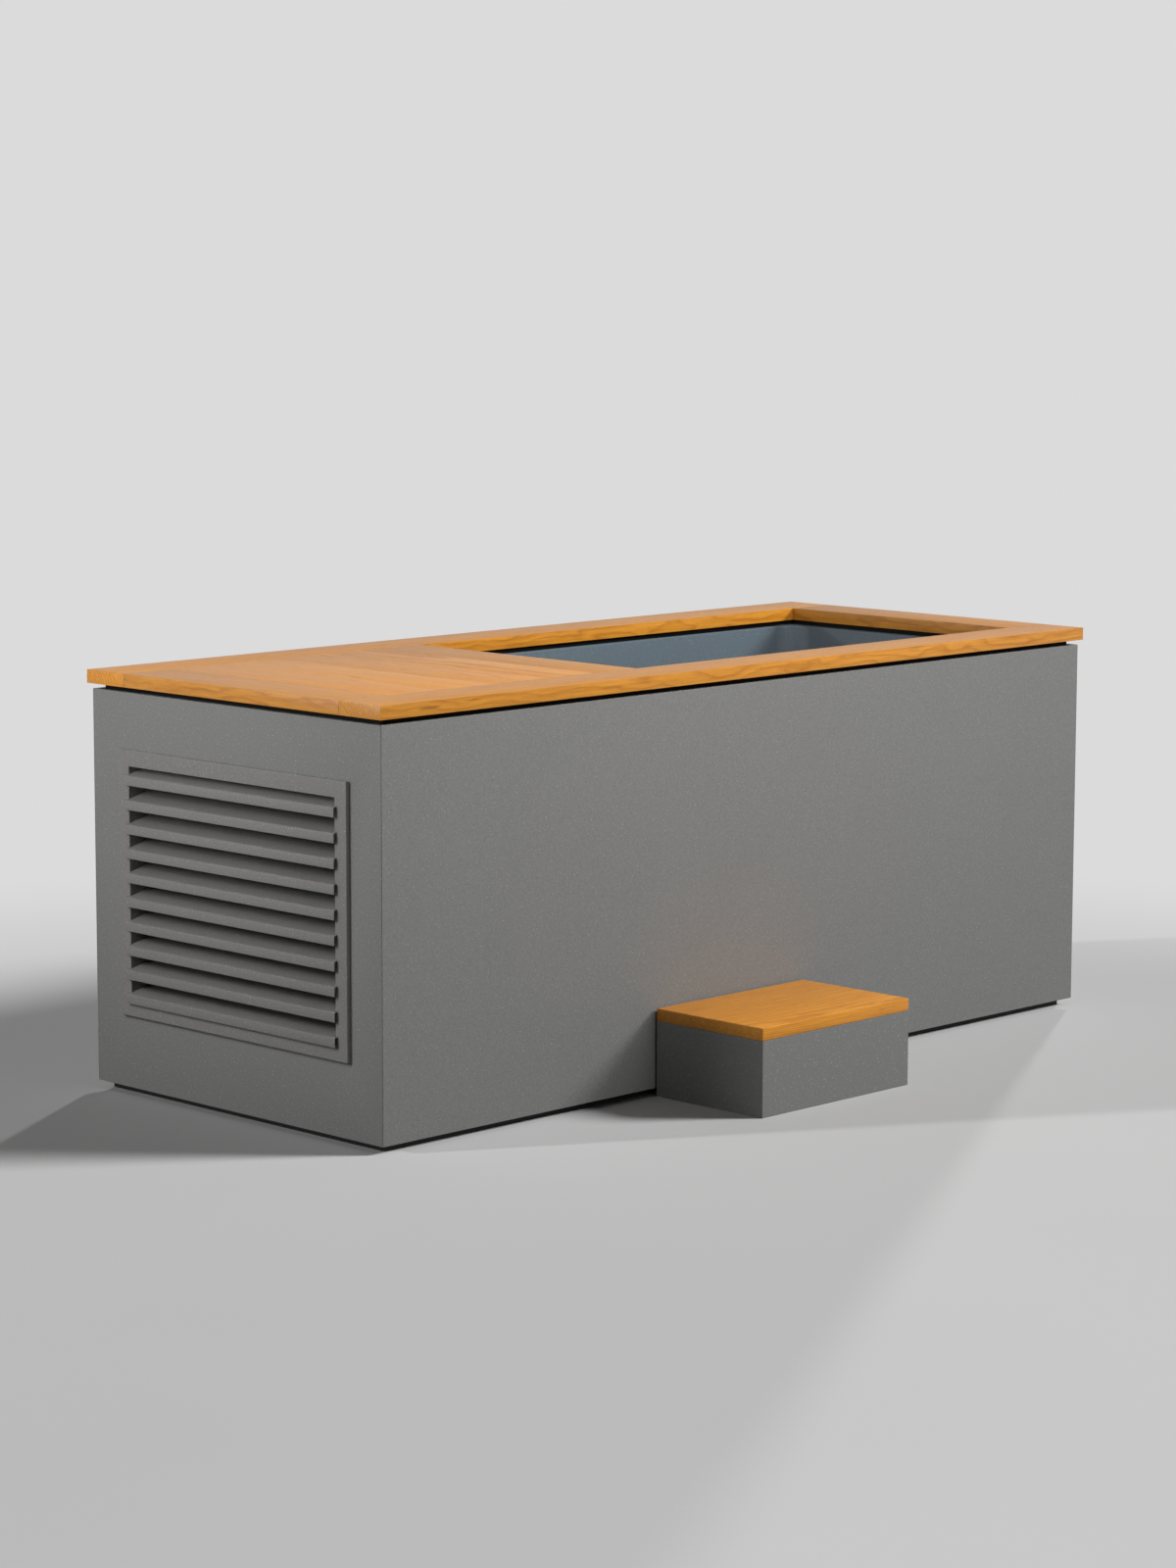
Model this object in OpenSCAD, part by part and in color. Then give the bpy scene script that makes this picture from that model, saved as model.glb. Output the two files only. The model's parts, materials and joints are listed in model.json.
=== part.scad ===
// Cold plunge tub with a timber deck, a louvred plant compartment and a loose step.
// X runs along the tub, the louvre is at -X, the bather's side is at -Y, the floor is z = 0.

/* [Cladding] */
// Length of the clad box along X
panel_l = 2100; // [2060:10:2300]
// Width of the clad box along Y
panel_w = 855; // [835:5:950]
// Height of the cladding panels
panel_h = 800; // [770:5:880]
// Thickness of the cladding panels
panel_t = 12; // [8:1:14]
// Joint left open along each mitred corner
mitre_gap = 0.6; // [0.4:0.1:1.5]
// Shadow gap between the floor and the cladding
floor_gap = 15; // [10:1:25]
// Distance the plinth stands back from the face of the cladding
plinth_inset = 22; // [16:1:30]
// Width of a plinth strip
plinth_w = 40; // [30:1:60]

/* [Louvre] */
// Width of the louvre plate along Y
plate_w = 678; // [600:2:690]
// Height of the louvre plate
plate_h = 538; // [520:2:560]
// Height of the plate's lower edge above the cladding's lower edge
plate_base = 149; // [130:1:160]
// Distance the plate stands proud of the end panel
plate_proud = 9; // [6:1:12]
// Width of the border round the louvre opening
plate_border = 33; // [26:1:40]
// Wall of the collar behind the plate
collar_t = 3; // [2:0.5:4]
// Depth of the collar from the face of the end panel
collar_depth = 60; // [50:1:64]
// Number of blades
blade_count = 10; // [6:1:10]
// Spacing of the blades
blade_pitch = 49; // [47:0.5:49]
// Height of the upright lip on a blade
blade_lip = 19; // [12:1:22]
// Sheet thickness of a blade
blade_t = 2; // [1.5:0.5:3]
// Distance the lips stand proud of the plate
blade_proud = 8; // [5:1:12]
// Depth of a blade from its lip to its inner edge
blade_depth = 60; // [40:1:62]
// Height that a blade climbs from its lip to its inner edge
blade_rise = 17; // [8:1:18]
// Length by which a lip laps over the border at each end
blade_lap = 6; // [3:1:10]

/* [Timber deck] */
// Thickness of the timber
deck_t = 27; // [20:1:36]
// Overhang of the timber beyond the cladding
deck_over = 8; // [4:1:14]
// Height of the dark spacer between cladding and timber
shadow_gap = 11; // [8:1:16]
// Distance the spacer stands back from the face of the cladding
spacer_inset = 18; // [14:1:24]
// Width of the two end boards
end_board_w = 123; // [105:1:140]
// Length of the bather's opening along X
open_l = 1191; // [1100:1:1225]
// Width of the bather's opening along Y
open_w = 640; // [600:2:660]
// Width of the fixed board between the opening and the hatch
bridge_w = 120; // [110:1:140]
// Number of boards in the hatch
hatch_count = 4; // [3:1:5]
// Joint between two deck boards
board_gap = 1; // [0.6:0.1:2]
// Clearance round the hatch
hatch_gap = 1.5; // [1:0.1:3]
// Width of a hatch batten
batten_w = 60; // [40:1:80]
// Number of hatch battens
batten_count = 3; // [2:1:3]

/* [Basin] */
// Distance the basin's inner edge stands back behind the timber
basin_reveal = 9; // [6:1:14]
// Wall of the basin
basin_wall = 6; // [4:0.5:8]
// Thickness of the basin's flange
flange_t = 8; // [6:0.5:10]
// Radius of the basin's upright corners
basin_corner_r = 60; // [50:1:70]
// Radius between the basin's walls and floor
basin_fillet_r = 50; // [40:1:50]
// Inward lean of the three drafted walls over their height
basin_draft = 35; // [10:1:45]
// Clearance between the basin and the foam slabs beside it
foam_clear = 2; // [1:0.5:6]

/* [Frame] */
// Width of the frame tubes
tube_w = 40; // [35:1:45]
// Height of the base frame tubes
base_tube_h = 50; // [45:1:60]
// Height of the top frame tubes
top_tube_h = 40; // [35:1:50]
// Wall of the frame tubes
tube_wall = 3; // [2:0.5:4]
// Width of the two cross tubes beside the hatch
cross_w = 60; // [54:1:66]
// Place of the middle posts along X
mid_post_x = 330; // [250:10:450]
// Thickness of the floor board
floor_t = 12; // [9:1:15]
// Thickness of the bulkhead
bulkhead_t = 12; // [9:1:18]
// Distance of the outermost bolts from the ends of the frame
bolt_inset = 130; // [110:5:200]
// Distance of the bolts on each side of a middle post
bolt_offset = 130; // [60:5:140]

/* [Water circuit] */
// Outside diameter of the water pipes
pipe_d = 50; // [46:1:52]
// Bore of the water pipes
pipe_bore = 42; // [36:1:43]
// Bend radius of the water pipes
pipe_bend = 45; // [40:1:48]
// Diameter of a wall fitting's flange
flange_d = 90; // [80:1:94]
// Thickness of a wall fitting's flange
fitting_flange_t = 6; // [4:0.5:10]
// Width across the flats of the fitting nuts
nut_af = 72; // [66:1:76]
// Thickness of the fitting nuts
nut_t = 14; // [10:1:16]
// Place of the suction fitting along Y
suction_y = 180; // [170:1:184]
// Place of the return fitting along Y
return_y = -185; // [-190:1:-180]
// Distance of the drain from the basin's near edge along X
drain_x = 115; // [100:1:165]
// Place of the drain along Y
drain_y = 100; // [94:1:104]
// Space between the drain valve and the floor board
drain_clear = 3; // [2:1:12]
// Diameter of a valve body
valve_d = 76; // [70:1:78]
// Length of a valve body
valve_l = 80; // [76:1:84]
// Stub between the bulkhead and each valve
valve_stub = 26; // [22:1:30]
// Diameter of a valve ball
ball_d = 56; // [54:1:60]
// Diameter of a valve stem
stem_d = 12; // [10:1:14]
// Length of a valve's T handle
handle_l = 76; // [60:1:84]

/* [Pump and filter] */
// Diameter of the pump's volute
volute_d = 150; // [140:1:156]
// Width of the pump's volute
volute_w = 60; // [60:1:66]
// Diameter of the pump's motor
pump_motor_d = 120; // [100:1:130]
// Length of the pump's motor
pump_motor_l = 170; // [140:5:180]
// Diameter of the pump's shaft
pump_shaft_d = 16; // [12:1:20]
// Diameter of the impeller
impeller_d = 108; // [96:1:114]
// Number of impeller vanes
vane_count = 6; // [4:1:8]
// Diameter of the filter housing
filter_d = 170; // [150:1:176]
// Place of the filter along Y
filter_y = -30; // [-32:1:-26]
// Height of the filter's ports above the suction line
filter_rise = 200; // [190:1:215]
// Wall of the filter housing
filter_wall = 6; // [5:0.5:8]
// Height of the filter's lid
lid_h = 34; // [28:1:40]

/* [Chiller] */
// Width of the condenser coil along Y
coil_w = 580; // [540:2:600]
// Height of the condenser coil
coil_h = 460; // [440:5:470]
// Depth of the condenser coil along X
coil_t = 44; // [30:1:46]
// Number of fins in the condenser coil
fin_count = 24; // [12:1:32]
// Bore of the fan's shroud
shroud_d = 362; // [340:1:380]
// Running gap between the fan's blades and its shroud
fan_gap = 6; // [4:0.5:8]
// Number of fan blades
fan_blades = 5; // [3:1:7]
// Diameter of the fan's hub
hub_d = 96; // [80:1:110]
// Diameter of the fan's shaft
fan_shaft_d = 10; // [8:1:12]
// Diameter of the compressor
compressor_d = 150; // [130:1:154]
// Height of the compressor
compressor_h = 250; // [220:1:260]
// Width of the heat exchanger along Y
exchanger_w = 100; // [90:1:104]
// Outside diameter of the refrigerant lines
line_d = 10; // [8:1:12]

/* [Control and services] */
// Width of the control box along Y
control_w = 170; // [150:1:180]
// Height of the control box
control_h = 160; // [130:1:166]
// Depth of the control box along X
control_t = 84; // [70:1:90]
// Diameter of the isolator's knob
knob_d = 50; // [40:1:60]
// Diameter of the cable gland's thread
gland_d = 25; // [20:1:32]
// Bore of the cable gland
gland_bore = 13; // [8:1:16]
// Number of vent slots in the back panel
vent_count = 9; // [5:1:10]

/* [Step] */
// Length of the step along X
step_l = 443; // [400:1:500]
// Depth of the step along Y
step_w = 287; // [250:1:320]
// Height of the tread's upper face above the floor
step_h = 180; // [160:1:200]
// Thickness of the tread
tread_t = 26; // [20:1:32]
// Place of the step's middle along X
step_x = -89.5; // [-300:0.5:300]
// Gap between the step and the front panel
step_gap = 5.5; // [4:0.5:20]
// Side of the blocks in the step's corners
block_w = 30; // [24:1:40]

/* [Hidden] */
$fn = 48;

// Reach of a cutter beyond the face it starts from
past = 1;
// Gap left under a moving piece that rests on its seat
seat_clear = 0.3;
// Clearance round a post, rod or pipe in its hole, on the radius
hole_clear = 0.3;
// Clearance of a shaft in its bearing, on the radius
run_clear = 0.05;
// Gap between a panel and the board or flange beside it
edge_clear = 1;
// Gap between the ends of a strip, tube or slab and the one that it meets
butt_gap = 0.2;

// Levels above the floor
z_base1 = floor_gap + base_tube_h;
z_floor1 = z_base1 + floor_t;
z_panel1 = floor_gap + panel_h;
z_top1 = z_panel1 - flange_t;
z_top0 = z_top1 - top_tube_h;
z_deck0 = z_panel1 + shadow_gap;
z_deck1 = z_deck0 + deck_t;
z_drain = z_floor1 + drain_clear + valve_d / 2;
drain_bend = pipe_d / 2 + 2;
drain_tail = z_drain + drain_bend + 2;
z_basin = drain_tail + nut_t + basin_wall;

// Half sizes of the frame, which fills the cladding
frame_x = panel_l / 2 - panel_t;
frame_y = panel_w / 2 - panel_t;
rail_y = frame_y - tube_w / 2;
inner_y = frame_y - tube_w;
inner_x = frame_x - tube_w;

// Timber deck
deck_x = panel_l / 2 + deck_over;
deck_y = panel_w / 2 + deck_over;
open_x1 = deck_x - end_board_w;
open_x0 = open_x1 - open_l;
open_y = open_w / 2;
hatch_x1 = open_x0 - bridge_w;
hatch_x0 = -deck_x + end_board_w;
hatch_span = hatch_x1 - hatch_x0 - 2 * hatch_gap;
hatch_board_w = (hatch_span - (hatch_count - 1) * board_gap) / hatch_count;
hatch_y = open_y - hatch_gap;
spacer_x = panel_l / 2 - spacer_inset;
spacer_y = panel_w / 2 - spacer_inset;
spacer_back = 5;

// Cross tubes, each straddling one end of the hatch
cross_x = [hatch_x0, hatch_x1];
bulkhead_x = hatch_x1 + cross_w / 2;

// Basin
basin_x0 = open_x0 - basin_reveal;
basin_x1 = open_x1 + basin_reveal;
basin_y = open_y + basin_reveal;
drain_mid = basin_x0 + drain_x;
basin_fn = 32;
fillet_step = 15;
flange_x0 = hatch_x1 + 2 * hatch_gap;
flange_x1 = frame_x - edge_clear;
flange_y = frame_y - edge_clear;

// Foam slabs round the basin
foam_x0 = bulkhead_x + bulkhead_t + edge_clear;
foam_x1 = inner_x - edge_clear;
foam_z1 = z_top1 - edge_clear;
foam_y0 = basin_y + basin_wall + foam_clear;
foam_y1 = inner_y - edge_clear;
foam_end_y = foam_y0 - butt_gap;

// Water circuit
fitting_clear = 2;
fitting_z = z_basin + basin_fillet_r + flange_d / 2 + fitting_clear;
wall_x = basin_x0 - basin_wall;
valve_x1 = bulkhead_x - valve_stub;
valve_x0 = valve_x1 - valve_l;
valve_x = (valve_x0 + valve_x1) / 2;
pipe_hole_d = pipe_d + 2 * hole_clear;
boss_h = 12;
boss_wall = 9;
boss_d = stem_d + 2 * boss_wall;
handle_t = 12;
handle_bar = 14;
bar_t = 3;
nozzle_t = 10;

// Pump, which lies in line with the suction valve
socket_d = pipe_d + 8;
nozzle_l = 18;
volute_x1 = valve_x0 - nozzle_l;
volute_x0 = volute_x1 - volute_w;
volute_x = (volute_x0 + volute_x1) / 2;
volute_wall = 8;
pump_flange_t = 10;
motor_x1 = volute_x0 - pump_flange_t;
motor_x0 = motor_x1 - pump_motor_l;
fan_cover_l = 20;
shaft_in = 110;
impeller_gap = 4;
vane_t = 3;
pedestal_w = 100;
pedestal_in = 30;
port_z = fitting_z + filter_rise;
outlet_l = 22;
volute_top = volute_d / 2 + outlet_l;

// Filter, which stands in line with the pump's outlet
filter_x = volute_x;
port_l = 15;
head_h = 26;
filter_top = port_z + pipe_d / 2 + head_h;
filter_floor = z_floor1 + 2 * filter_wall;
filter_neck_d = filter_d - 2 * filter_wall;
filter_bore = filter_neck_d - 2 * filter_wall;
neck_h = 20;
lid_t = 8;
grip_w = 16;
grip_in = 8;
cartridge_gap = 8;
core_share = 0.4;
pleat_count = 24;
cap_t = 10;

// Heat exchanger
exchanger_t = 60;
exchanger_y = return_y;
exchanger_back = 105;
exchanger_x1 = volute_x - exchanger_back;
exchanger_x0 = exchanger_x1 - exchanger_t;
exchanger_x = (exchanger_x0 + exchanger_x1) / 2;
exchanger_over = 55;
socket_in = 10;
line_port_l = 8;
line_port_d = line_d + 8;
leg_t = 4;

// Chiller, whose coil stands behind the louvre's collar
louvre_z0 = floor_gap + plate_base;
louvre_z1 = louvre_z0 + plate_h;
louvre_y = plate_w / 2;
hole_z0 = louvre_z0 + plate_border;
hole_z1 = louvre_z1 - plate_border;
hole_y = louvre_y - plate_border;
coil_clear = 6;
coil_x0 = -panel_l / 2 + collar_depth + coil_clear;
coil_x1 = coil_x0 + coil_t;
coil_x = coil_x0 + coil_t / 2;
coil_plate_t = 3;
fin_t = 1;
row_count = 4;
row_h = 10;
coil_y = coil_w / 2;
coil_z0 = hole_z0 + 3;
coil_z1 = coil_z0 + coil_h;
shroud_t = 3;
shroud_x1 = coil_x1 + shroud_t;
ring_l = 40;
ring_t = 3;
fan_z = (coil_z0 + coil_z1) / 2;
fan_clear = 6;
fan_x0 = shroud_x1 + fan_clear;
hub_l = 30;
fan_blade_w = 92;
fan_blade_t = 2;
fan_pitch = 24;
shaft_gap = 14;
fan_motor_x0 = fan_x0 + hub_l + shaft_gap;
fan_motor_l = 66;
fan_motor_d = hub_d;
bracket_t = 3;
bracket_w = 30;
bracket_out = 40;
bracket_y = shroud_d / 2 + bracket_out;
compressor_gap = 25;
compressor_x = exchanger_x0 - compressor_gap - compressor_d / 2;
compressor_y = exchanger_y - 45;
dome_r = 30;
shell_t = 12;
foot_over = 10;
foot_t = 6;
line_bend = 18;
line_out = 24;
line_clear = 5;
coil_tail = 12;
line_y = min(-coil_y - line_bend - coil_tail,
    compressor_y - compressor_d / 2 - foot_over - line_clear);
line_inset = 60;
riser_y = compressor_y + 20;
drier_l = 100;
drier_d = 24;

// Control box on the bulkhead
control_y = 20;
control_drop = 20;
control_z0 = z_top0 - control_drop - control_h;
control_wall = 3;
knob_z = control_z0 + control_h / 2;
control_x0 = bulkhead_x - control_t;
knob_t = 24;
knob_ridge_w = 10;
knob_ridge_in = 4;
knob_shaft_d = 8;
knob_shaft_in = 20;

// Services in the back panel
gland_x = exchanger_x0 - 40;
gland_hex_d = (gland_d + 9) / cos(30);
gland_nut_t = 6;
vent_w = 200;
vent_h = 12;
vent_pitch = 24;
vent_x = gland_x - 60;
vent_z = 450;
gland_tail = 14;

// Step
step_y1 = -panel_w / 2 - step_gap;
step_y0 = step_y1 - step_w;
step_y = (step_y0 + step_y1) / 2;
step_z = step_h - tread_t;
block_lift = 2;

// Fasteners
bolt_d = 6;
bolt_head_d = 13;
bolt_head_t = 4;
bolt_bite = 16;
bolt_hole_d = bolt_d + 2 * hole_clear;
hatch_screw_d = 5;
hatch_screw_head_d = 9;
hatch_screw_bite = 14;
screw_hole_d = hatch_screw_d + 2 * hole_clear;
end_bolt_y = 150;
rail_bolt_x = [
    -frame_x + bolt_inset, (hatch_x0 + hatch_x1) / 2, hatch_x1 + bolt_offset,
    mid_post_x - 2 * bolt_offset, mid_post_x + 2 * bolt_offset, frame_x - bolt_inset
];
bolt_places = concat(
    [for (side = [-1, 1], x = rail_bolt_x) [x, side * rail_y]],
    [for (side = [-1, 1], x = [-1, 1]) [x * (frame_x - tube_w / 2), side * end_bolt_y]],
    [for (side = [-1, 1]) [hatch_x1 + cross_w / 4, side * end_bolt_y]]
);
post_places = [
    for (x = [-frame_x + tube_w / 2, hatch_x1, mid_post_x, frame_x - tube_w / 2], side = [-1, 1])
        [x, side * rail_y]
];
screw_places = [
    for (i = [0 : hatch_count - 1], j = [0 : batten_count - 1], side = [-1, 1])
        [hatch_board_x(i) + side * hatch_board_w / 4, batten_y(j)]
];

function hatch_board_x(i) =
    hatch_x0 + hatch_gap + hatch_board_w / 2 + i * (hatch_board_w + board_gap);
function batten_y(j) =
    (j - (batten_count - 1) / 2) * 2 * (hatch_y - batten_w) / (batten_count - 1);

// Solid block between two opposite corners
module block(low, high) {
    translate(low) cube(high - low);
}

// Rods along each axis, from one coordinate to another
module rod_x(x0, x1, y, z, d) {
    translate([x0, y, z]) rotate([0, 90, 0]) cylinder(h = x1 - x0, d = d);
}
module rod_y(y0, y1, x, z, d) {
    translate([x, y1, z]) rotate([90, 0, 0]) cylinder(h = y1 - y0, d = d);
}
module rod_z(z0, z1, x, y, d) {
    translate([x, y, z0]) cylinder(h = z1 - z0, d = d);
}

// Square tubes of the frame, open at both ends
module tube_x(x0, x1, y0, y1, z0, z1) {
    difference() {
        block([x0, y0, z0], [x1, y1, z1]);
        block([x0 - past, y0 + tube_wall, z0 + tube_wall],
            [x1 + past, y1 - tube_wall, z1 - tube_wall]);
    }
}
module tube_y(x0, x1, y0, y1, z0, z1) {
    difference() {
        block([x0, y0, z0], [x1, y1, z1]);
        block([x0 + tube_wall, y0 - past, z0 + tube_wall],
            [x1 - tube_wall, y1 + past, z1 - tube_wall]);
    }
}
module tube_z(x0, x1, y0, y1, z0, z1) {
    difference() {
        block([x0, y0, z0], [x1, y1, z1]);
        block([x0 + tube_wall, y0 + tube_wall, z0 - past],
            [x1 - tube_wall, y1 - tube_wall, z1 + past]);
    }
}

// Unit vector from one point towards another
function towards(a, b) = (b - a) / norm(b - a);

// Quarter bend about a corner, from direction a to direction b
module bend(corner, a, b, radius, d) {
    c = cross(a, b);
    centre = corner - a * radius + b * radius;
    multmatrix([
        [-b[0], a[0], c[0], centre[0]],
        [-b[1], a[1], c[1], centre[1]],
        [-b[2], a[2], c[2], centre[2]],
        [0, 0, 0, 1]
    ])
        mirror([0, 0, 1]) rotate_extrude(angle = 90) translate([radius, 0]) circle(d = d);
}

// Angles that turn +Z to an axis direction
function turn_to(v) =
    abs(v[0]) > 0 ? [0, v[0] > 0 ? 90 : -90, 0] :
    abs(v[1]) > 0 ? [v[1] > 0 ? -90 : 90, 0, 0] :
    [v[2] > 0 ? 0 : 180, 0, 0];

// Straight length of rod between two points
module strut(a, b, d) {
    translate(a) rotate(turn_to(b - a)) cylinder(h = norm(b - a), d = d);
}

// Round rod along a route whose corners are all right angles
module route(points, radius, d) {
    last = len(points) - 1;
    for (i = [0 : last - 1]) {
        way = towards(points[i], points[i + 1]);
        start = points[i] + (i > 0 ? radius : 0) * way;
        end = points[i + 1] - (i < last - 1 ? radius : 0) * way;
        strut(start, end, d);
    }
    for (i = [1 : last - 1])
        bend(points[i], towards(points[i - 1], points[i]), towards(points[i], points[i + 1]),
            radius, d);
}

// Pipe along a route, with its bore open at both ends
module pipe(points, radius, d, bore) {
    last = len(points) - 1;
    first_way = towards(points[0], points[1]);
    last_way = towards(points[last - 1], points[last]);
    longer = [
        for (i = [0 : last])
            points[i] - (i == 0 ? past : 0) * first_way + (i == last ? past : 0) * last_way
    ];
    difference() {
        route(points, radius, d);
        route(longer, radius, bore);
    }
}

// Holes for the deck bolts, from one level to another
module bolt_holes(z0, z1) {
    for (p = bolt_places) rod_z(z0, z1, p[0], p[1], bolt_hole_d);
}

// Dark strips that carry the tub on the floor, with one under the middle
module plinth() {
    x = panel_l / 2 - plinth_inset;
    y = panel_w / 2 - plinth_inset;
    half = plinth_w / 2;
    short = y - plinth_w - butt_gap;
    color("#161616") {
        for (mid = [-y + half, y - half]) block([-x, mid - half, 0], [x, mid + half, floor_gap]);
        for (mid = [-x + half, 0, x - half])
            block([mid - half, -short, 0], [mid + half, short, floor_gap]);
    }
}

// Welded base of square tube
module base_frame() {
    half = tube_w / 2;
    short = inner_y - butt_gap;
    color("#4a4d50") {
        for (y = [-rail_y, rail_y])
            tube_x(-frame_x, frame_x, y - half, y + half, floor_gap, z_base1);
        for (x = [-frame_x + half, hatch_x1, 0, mid_post_x, frame_x - half])
            tube_y(x - half, x + half, -short, short, floor_gap, z_base1);
    }
}

// Upright posts between the base and the top frame
module frame_posts() {
    half = tube_w / 2;
    color("#4a4d50")
        for (p = post_places)
            tube_z(p[0] - half, p[0] + half, p[1] - half, p[1] + half, z_base1, z_top0);
}

// Top ring of square tube, with a wide cross tube at each end of the hatch
module top_frame() {
    half = tube_w / 2;
    short = inner_y - butt_gap;
    color("#4a4d50") difference() {
        union() {
            for (y = [-rail_y, rail_y])
                tube_x(-frame_x, frame_x, y - half, y + half, z_top0, z_top1);
            for (x = [-frame_x + half, frame_x - half])
                tube_y(x - half, x + half, -short, short, z_top0, z_top1);
            for (x = cross_x)
                tube_y(x - cross_w / 2, x + cross_w / 2, -short, short, z_top0, z_top1);
        }
        bolt_holes(z_top0 - past, z_top1 + past);
    }
}

// Board over the base frame, notched round the posts
module floor_board() {
    notch = tube_w / 2 + edge_clear;
    x = frame_x - edge_clear;
    y = frame_y - edge_clear;
    color("#8d8778") difference() {
        block([-x, -y, z_base1], [x, y, z_floor1]);
        for (p = post_places)
            block([p[0] - notch, p[1] - notch, z_base1 - past],
                [p[0] + notch, p[1] + notch, z_floor1 + past]);
    }
}

// Wall between the plant compartment and the basin
module bulkhead() {
    color("#8a8f94") difference() {
        block([bulkhead_x, -foam_y1, z_floor1], [bulkhead_x + bulkhead_t, foam_y1, foam_z1]);
        for (p = [[suction_y, fitting_z], [return_y, fitting_z], [drain_y, z_drain]])
            rod_x(bulkhead_x - past, bulkhead_x + bulkhead_t + past, p[0], p[1], pipe_hole_d);
    }
}

// Plan of a board with mitred ends, its face along X through the origin
module mitred(length) {
    half = length / 2;
    polygon([[-half, 0], [half, 0], [half - panel_t, panel_t], [-half + panel_t, panel_t]]);
}

// Long cladding panel, its face at y = -face_y
module long_panel(face_y) {
    translate([0, -face_y, floor_gap]) linear_extrude(panel_h) mitred(panel_l - mitre_gap);
}

// Short cladding panel, its face at x = -panel_l / 2
module short_panel() {
    translate([-panel_l / 2, 0, floor_gap]) rotate([0, 0, -90])
        linear_extrude(panel_h) mitred(panel_w - mitre_gap);
}

// Panel on the bather's side
module front_panel() {
    color("#77767a") long_panel(panel_w / 2);
}

// Panel on the far side, with vents, the drain outlet's hole and the cable gland's hole
module back_panel() {
    y0 = frame_y - past;
    y1 = panel_w / 2 + past;
    color("#77767a") difference() {
        rotate([0, 0, 180]) long_panel(panel_w / 2);
        for (i = [0 : vent_count - 1])
            translate([vent_x - vent_w / 2, y0, vent_z + i * vent_pitch])
                cube([vent_w, y1 - y0, vent_h]);
        rod_y(y0, y1, filter_x, z_drain, pipe_hole_d);
        rod_y(y0, y1, gland_x, z_drain, gland_d + 2 * hole_clear);
    }
}

// End panel with the cut-out for the louvre
module louvre_end_panel() {
    rim = collar_t + edge_clear;
    color("#77767a") difference() {
        short_panel();
        block([-panel_l / 2 - past, -hole_y - rim, hole_z0 - rim],
            [-frame_x + past, hole_y + rim, hole_z1 + rim]);
    }
}

// Plain end panel beside the basin
module plain_end_panel() {
    color("#77767a") rotate([0, 0, 180]) short_panel();
}

// Raised plate with the collar that carries the blades
module louvre_frame() {
    face_x = -panel_l / 2 - plate_proud;
    back_x = -panel_l / 2 + collar_depth;
    color("#727176") difference() {
        union() {
            block([face_x, -louvre_y, louvre_z0], [-panel_l / 2, louvre_y, louvre_z1]);
            block([face_x, -hole_y - collar_t, hole_z0 - collar_t],
                [back_x, hole_y + collar_t, hole_z1 + collar_t]);
        }
        block([face_x - past, -hole_y, hole_z0], [back_x + past, hole_y, hole_z1]);
    }
}

// Side view of a blade: an upright lip outside and a web that climbs inwards
module blade_profile() {
    slope = blade_rise / blade_depth;
    drop = blade_t * sqrt(1 + slope * slope);
    polygon([
        [0, 0], [0, blade_lip], [blade_depth, blade_lip + blade_rise],
        [blade_depth, blade_lip + blade_rise - drop],
        [blade_t, blade_lip + slope * blade_t - drop], [blade_t, 0]
    ]);
}

// One blade, whose lip laps the plate while its web fits inside the collar
module louvre_blade(z) {
    lip_x = -panel_l / 2 - plate_proud - blade_proud;
    lip_y = hole_y + blade_lap;
    web_y = hole_y - seat_clear;
    lap_x = blade_proud - seat_clear;
    intersection() {
        translate([lip_x, lip_y, z]) rotate([90, 0, 0]) linear_extrude(2 * lip_y) blade_profile();
        union() {
            block([lip_x - past, -lip_y, z - past], [lip_x + lap_x, lip_y, z + blade_pitch]);
            block([lip_x - past, -web_y, z - past], [lip_x + blade_depth + past, web_y, z + blade_pitch]);
        }
    }
}

// Blades counted down from the top of the opening
module louvre_blades() {
    top = hole_z1 - edge_clear - blade_rise - blade_lip;
    color("#706f74") for (i = [0 : blade_count - 1]) louvre_blade(top - i * blade_pitch);
}

// Rigid foam round and under the basin
module foam_insulation() {
    under = z_basin - basin_wall;
    side_z = under + butt_gap;
    nut_room = 1.25 * nut_af;
    slot = nut_room / 2;
    color("#e6dfc4") {
        difference() {
            block([foam_x0, -foam_end_y, z_floor1], [foam_x1, foam_end_y, under]);
            block([foam_x0 - past, drain_y - slot, z_floor1 - past],
                [drain_mid + slot, drain_y + slot, under + past]);
        }
        for (mid = [-1, 1] * (foam_y0 + foam_y1) / 2)
            translate([foam_x0, mid - (foam_y1 - foam_y0) / 2, z_floor1])
                cube([foam_x1 - foam_x0, foam_y1 - foam_y0, foam_z1 - z_floor1]);
        difference() {
            block([foam_x0, -foam_end_y, side_z], [wall_x - edge_clear, foam_end_y, foam_z1]);
            for (y = [suction_y, return_y])
                rod_x(foam_x0 - past, wall_x, y, fitting_z, nut_room);
        }
        block([basin_x1 + basin_wall + edge_clear, -foam_end_y, side_z], [foam_x1, foam_end_y, foam_z1]);
    }
}

// Inside shape of the basin, grown by a wall all round
module basin_shape(grow, top) {
    r = basin_corner_r + grow;
    f = basin_fillet_r + grow;
    low = z_basin - grow;
    x_near = basin_x0 + basin_corner_r;
    x_far = basin_x1 - basin_corner_r;
    y_far = basin_y - basin_corner_r;
    hull() for (side = [-1, 1]) {
        for (x = [x_near, x_far])
            translate([x, side * y_far, top - 0.01]) cylinder(r = r, h = 0.01, $fn = basin_fn);
        for (x = [x_near, x_far - basin_draft], a = [0 : fillet_step : 90])
            translate([x, side * (y_far - basin_draft), low + f * (1 - sin(a))])
                cylinder(r = r - f + f * cos(a), h = 0.01, $fn = basin_fn);
    }
}

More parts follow.
